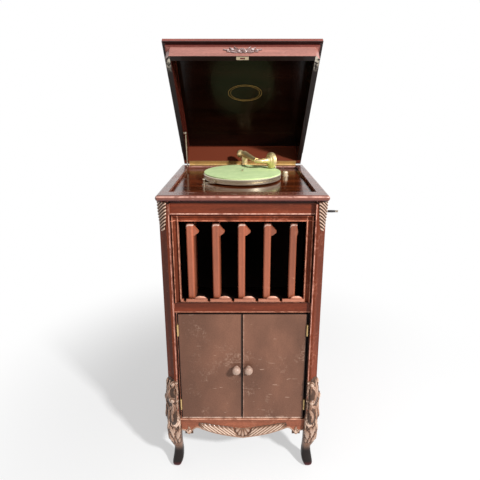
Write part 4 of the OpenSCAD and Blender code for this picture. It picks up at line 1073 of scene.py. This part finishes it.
def makeOrnament():
    # a shell between acanthus leaves and volutes, raised from the lid's front face towards the viewer
    u, v = flatGrid(ornament)
    shell = shellStroke(u, v, (0, -9), 15, 22, ribs=6)
    field = carved(np.abs(u), v, ornament, shell)
    front = onLid(u, ornament["front"] + 1.2 - ornament["depth"] * field, ornament["height"] + v)
    back = onLid(u, np.full_like(u, ornament["front"] + 3), ornament["height"] + v)
    # the field also paints shade into the hollows and a highlight onto the tops
    piece = slabFrom("lidOrnament", front, back, field)
    return place(piece, woods["ornament"], "lid", ["lid_carving"])


oval = {
    "middle": (10.0, -333.0),
    "half": (66.0, 39.0),
    "ceiling": 86.4,
    # outwards in half breadths, height above the ceiling
    "profile": [(-1, 0.2), (-1, -0.4), (1, -0.4), (1, 0.2)],
}


def ovalBand(name, scale, width, beads):
    # a flat gilt line round an oval; its breadth swells with the cosine of a whole number of turns
    turn = np.linspace(0, 2 * math.pi, 361)[:-1]
    swell = width * (0.65 + 0.35 * np.cos(beads * turn))
    rows = []
    for outwards, rise in oval["profile"]:
        x = oval["middle"][0] + (oval["half"][0] * scale + outwards * swell) * np.cos(turn)
        y = oval["middle"][1] + (oval["half"][1] * scale + outwards * swell) * np.sin(turn)
        rows.append(onLid(x, y, np.full_like(turn, oval["ceiling"] + rise)))
    index = np.arange(len(turn) * 4).reshape(-1, 4)
    after = np.roll(index, -1, 0)
    faces = [np.stack([index[:, k], index[:, (k + 1) % 4], after[:, (k + 1) % 4], after[:, k]], axis=1)
             for k in range(4)]
    piece = meshFrom(name, np.stack(rows, axis=1), [np.concatenate(faces)], smooth=False)
    return place(piece, metals["gilt"], "lid")


def boxOf(name):
    # the two corners of a piece of the model, in millimetres
    return [np.asarray(corner, float) * 1000 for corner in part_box(name)]


def turned(shape):
    # a turned piece: the way along its axis, and its radius carried round it
    rows, columns = shape["grid"]
    along, radius = throughRows(shape["profile"], rows).T[:, :, None]
    turn = wholeTurn(columns)
    return along + np.zeros(columns), radius * np.cos(turn), radius * np.sin(turn)


knobShape = {
    "face": -264.0,
    "lift": 3.0,
    "grid": (70, 64),
    # distance out from the door, radius
    "profile": [(-0.2, 8.6), (1.4, 8.4), (3.0, 7.2), (5.2, 7.2), (7.0, 9.4), (8.8, 12.4), (11.5, 14.4),
        (15, 15.0), (19, 14.6), (22.5, 13.2), (25.5, 10.6), (27.6, 7.4), (28.8, 4.0), (29.3, 1.4),
        (29.4, 0.1)],
}


def makeKnob(name, body, replaced):
    # a turned knob whose axis stands out of the door
    low, high = boxOf(replaced)
    out, across, up = turned(knobShape)
    x, z = (low[0] + high[0]) / 2 + across, (low[2] + high[2]) / 2 + knobShape["lift"] + up
    rings = np.stack([x, knobShape["face"] - out, z], axis=-1) / 1000
    return place(tubeFrom(name, rings), woods["knob"], body, [replaced])


gripShape = {
    "grid": (60, 32),
    # share of the grip's length, radius
    "profile": [(0, 0.2), (0.01, 3.6), (0.06, 4.2), (0.1, 3.2), (0.3, 4.2), (0.6, 5.0), (0.85, 4.4),
        (0.96, 2.8), (1, 0.2)],
}


def makeGrip():
    # a slim turned grip, from the crank's arm to the free end
    low, high = boxOf("crank_grip")
    share, deep, up = turned(gripShape)
    x = low[0] + (high[0] - low[0]) * share
    rings = np.stack([x, (low[1] + high[1]) / 2 + deep, (low[2] + high[2]) / 2 + up], axis=-1) / 1000
    return place(tubeFrom("slimGrip", rings), woods["grip"], "winder_grip", ["crank_grip"])


makeOrnament()
makeGrip()
ovalBand("badgeOuter", 1.0, 1.1, 44)
ovalBand("badgeInner", 0.87, 0.5, 0)
for word in ("left", "right"):
    makeKnob(word + "TurnedKnob", "door_" + word, word + "_knob")
print("ornament, badge and knobs made")

# Floor, light and camera
studio = {
    "floorHalf": 40.0,
    "floorWhite": 0.92,
    "shadowReach": (0.55, 1.5),
    "skyStrength": 0.32,
    "keyPower": 255.0,
    "keyPlace": (2.6, -2.8, 3.2),
    "keyAim": (0, -0.1, 0.8),
    "keySize": 0.35,
    "cameraPlace": (0.0, -1.463, 1.367),
    "cameraTilt": 14.9,
    "focal": 391,           # pixels, in a frame of 480
    "principal": (242.5, 200.0),
}


def seenRays(tree):
    # 1 for the rays that should meet a white background
    rays = tree.nodes.new("ShaderNodeLightPath").outputs
    seen = math2("MAXIMUM", rays["Is Camera Ray"], rays["Is Glossy Ray"])
    return math2("MAXIMUM", seen, rays["Is Transmission Ray"])


def mixShader(tree, share, first, second, end):
    item = tree.nodes.new("ShaderNodeMixShader")
    for socket, value in zip(item.inputs, (share, first.outputs[0], second.outputs[0])):
        setInput(socket, value)
    setInput(tree.nodes[end].inputs["Surface"], item.outputs[0])


def buildFloor():
    # a pale floor that glows for the camera away from the piece, so that only the shadow stands out
    half = studio["floorHalf"]
    floor = meshFrom("floor", [(-half, -half, 0), (half, -half, 0), (half, half, 0), (-half, half, 0)],
                     [np.array([[0, 1, 2, 3]])])
    material, tree, shader = newMaterial("paleFloor")
    setValues(shader, Base_Color=(*[studio["floorWhite"]] * 3, 1), Roughness=0.9, Specular_IOR_Level=0.0)
    far = addNode(tree, "ShaderNodeVectorMath", operation="LENGTH")
    setInput(far.inputs[0], objectPlace(tree))
    away = mapRange(far.outputs["Value"], studio["shadowReach"], (0.5, 1.0), "SMOOTHSTEP")
    glow = addNode(tree, "ShaderNodeEmission", Color=(1, 1, 1, 1))
    mixShader(tree, times(seenRays(tree), away), shader, glow, "Material Output")
    floor.data.materials.append(material)


def buildLight():
    # an even sky, white where it is seen, and one lamp at the upper right that casts the shadow
    world = bpy.data.worlds.new("paleRoom")
    bpy.context.scene.world = world
    world.use_nodes = True
    tree = world.node_tree
    soft = setValues(tree.nodes["Background"], Color=(1, 1, 1, 1), Strength=studio["skyStrength"])
    plain = addNode(tree, "ShaderNodeBackground", Color=(1, 1, 1, 1), Strength=1.0)
    mixShader(tree, seenRays(tree), soft, plain, "World Output")
    lamp = bpy.data.lights.new("keyLight", "AREA")
    lamp.energy = studio["keyPower"]
    lamp.size = studio["keySize"]
    holder = addObject("keyLight", lamp)
    holder.location = studio["keyPlace"]
    x, y, z = np.array(studio["keyAim"]) - np.array(studio["keyPlace"])
    holder.rotation_euler = (math.atan2(math.hypot(x, y), -z), 0, math.atan2(y, x) - math.pi / 2)


def buildCamera():
    # the photograph's own view, in a frame of 480 by 480
    lens = bpy.data.cameras.new("photoCamera")
    lens.sensor_width = 36
    lens.lens = studio["focal"] / 480 * 36
    lens.shift_x = (240 - studio["principal"][0]) / 480
    lens.shift_y = (studio["principal"][1] - 240) / 480
    lens.clip_end = 90
    holder = addObject("photoCamera", lens)
    holder.location = studio["cameraPlace"]
    holder.rotation_euler = (math.radians(90 - studio["cameraTilt"]), 0, 0)
    bpy.context.scene.camera = holder


buildFloor()
buildLight()
buildCamera()
bpy.context.scene.view_settings.view_transform = "Standard"
print("studio set")
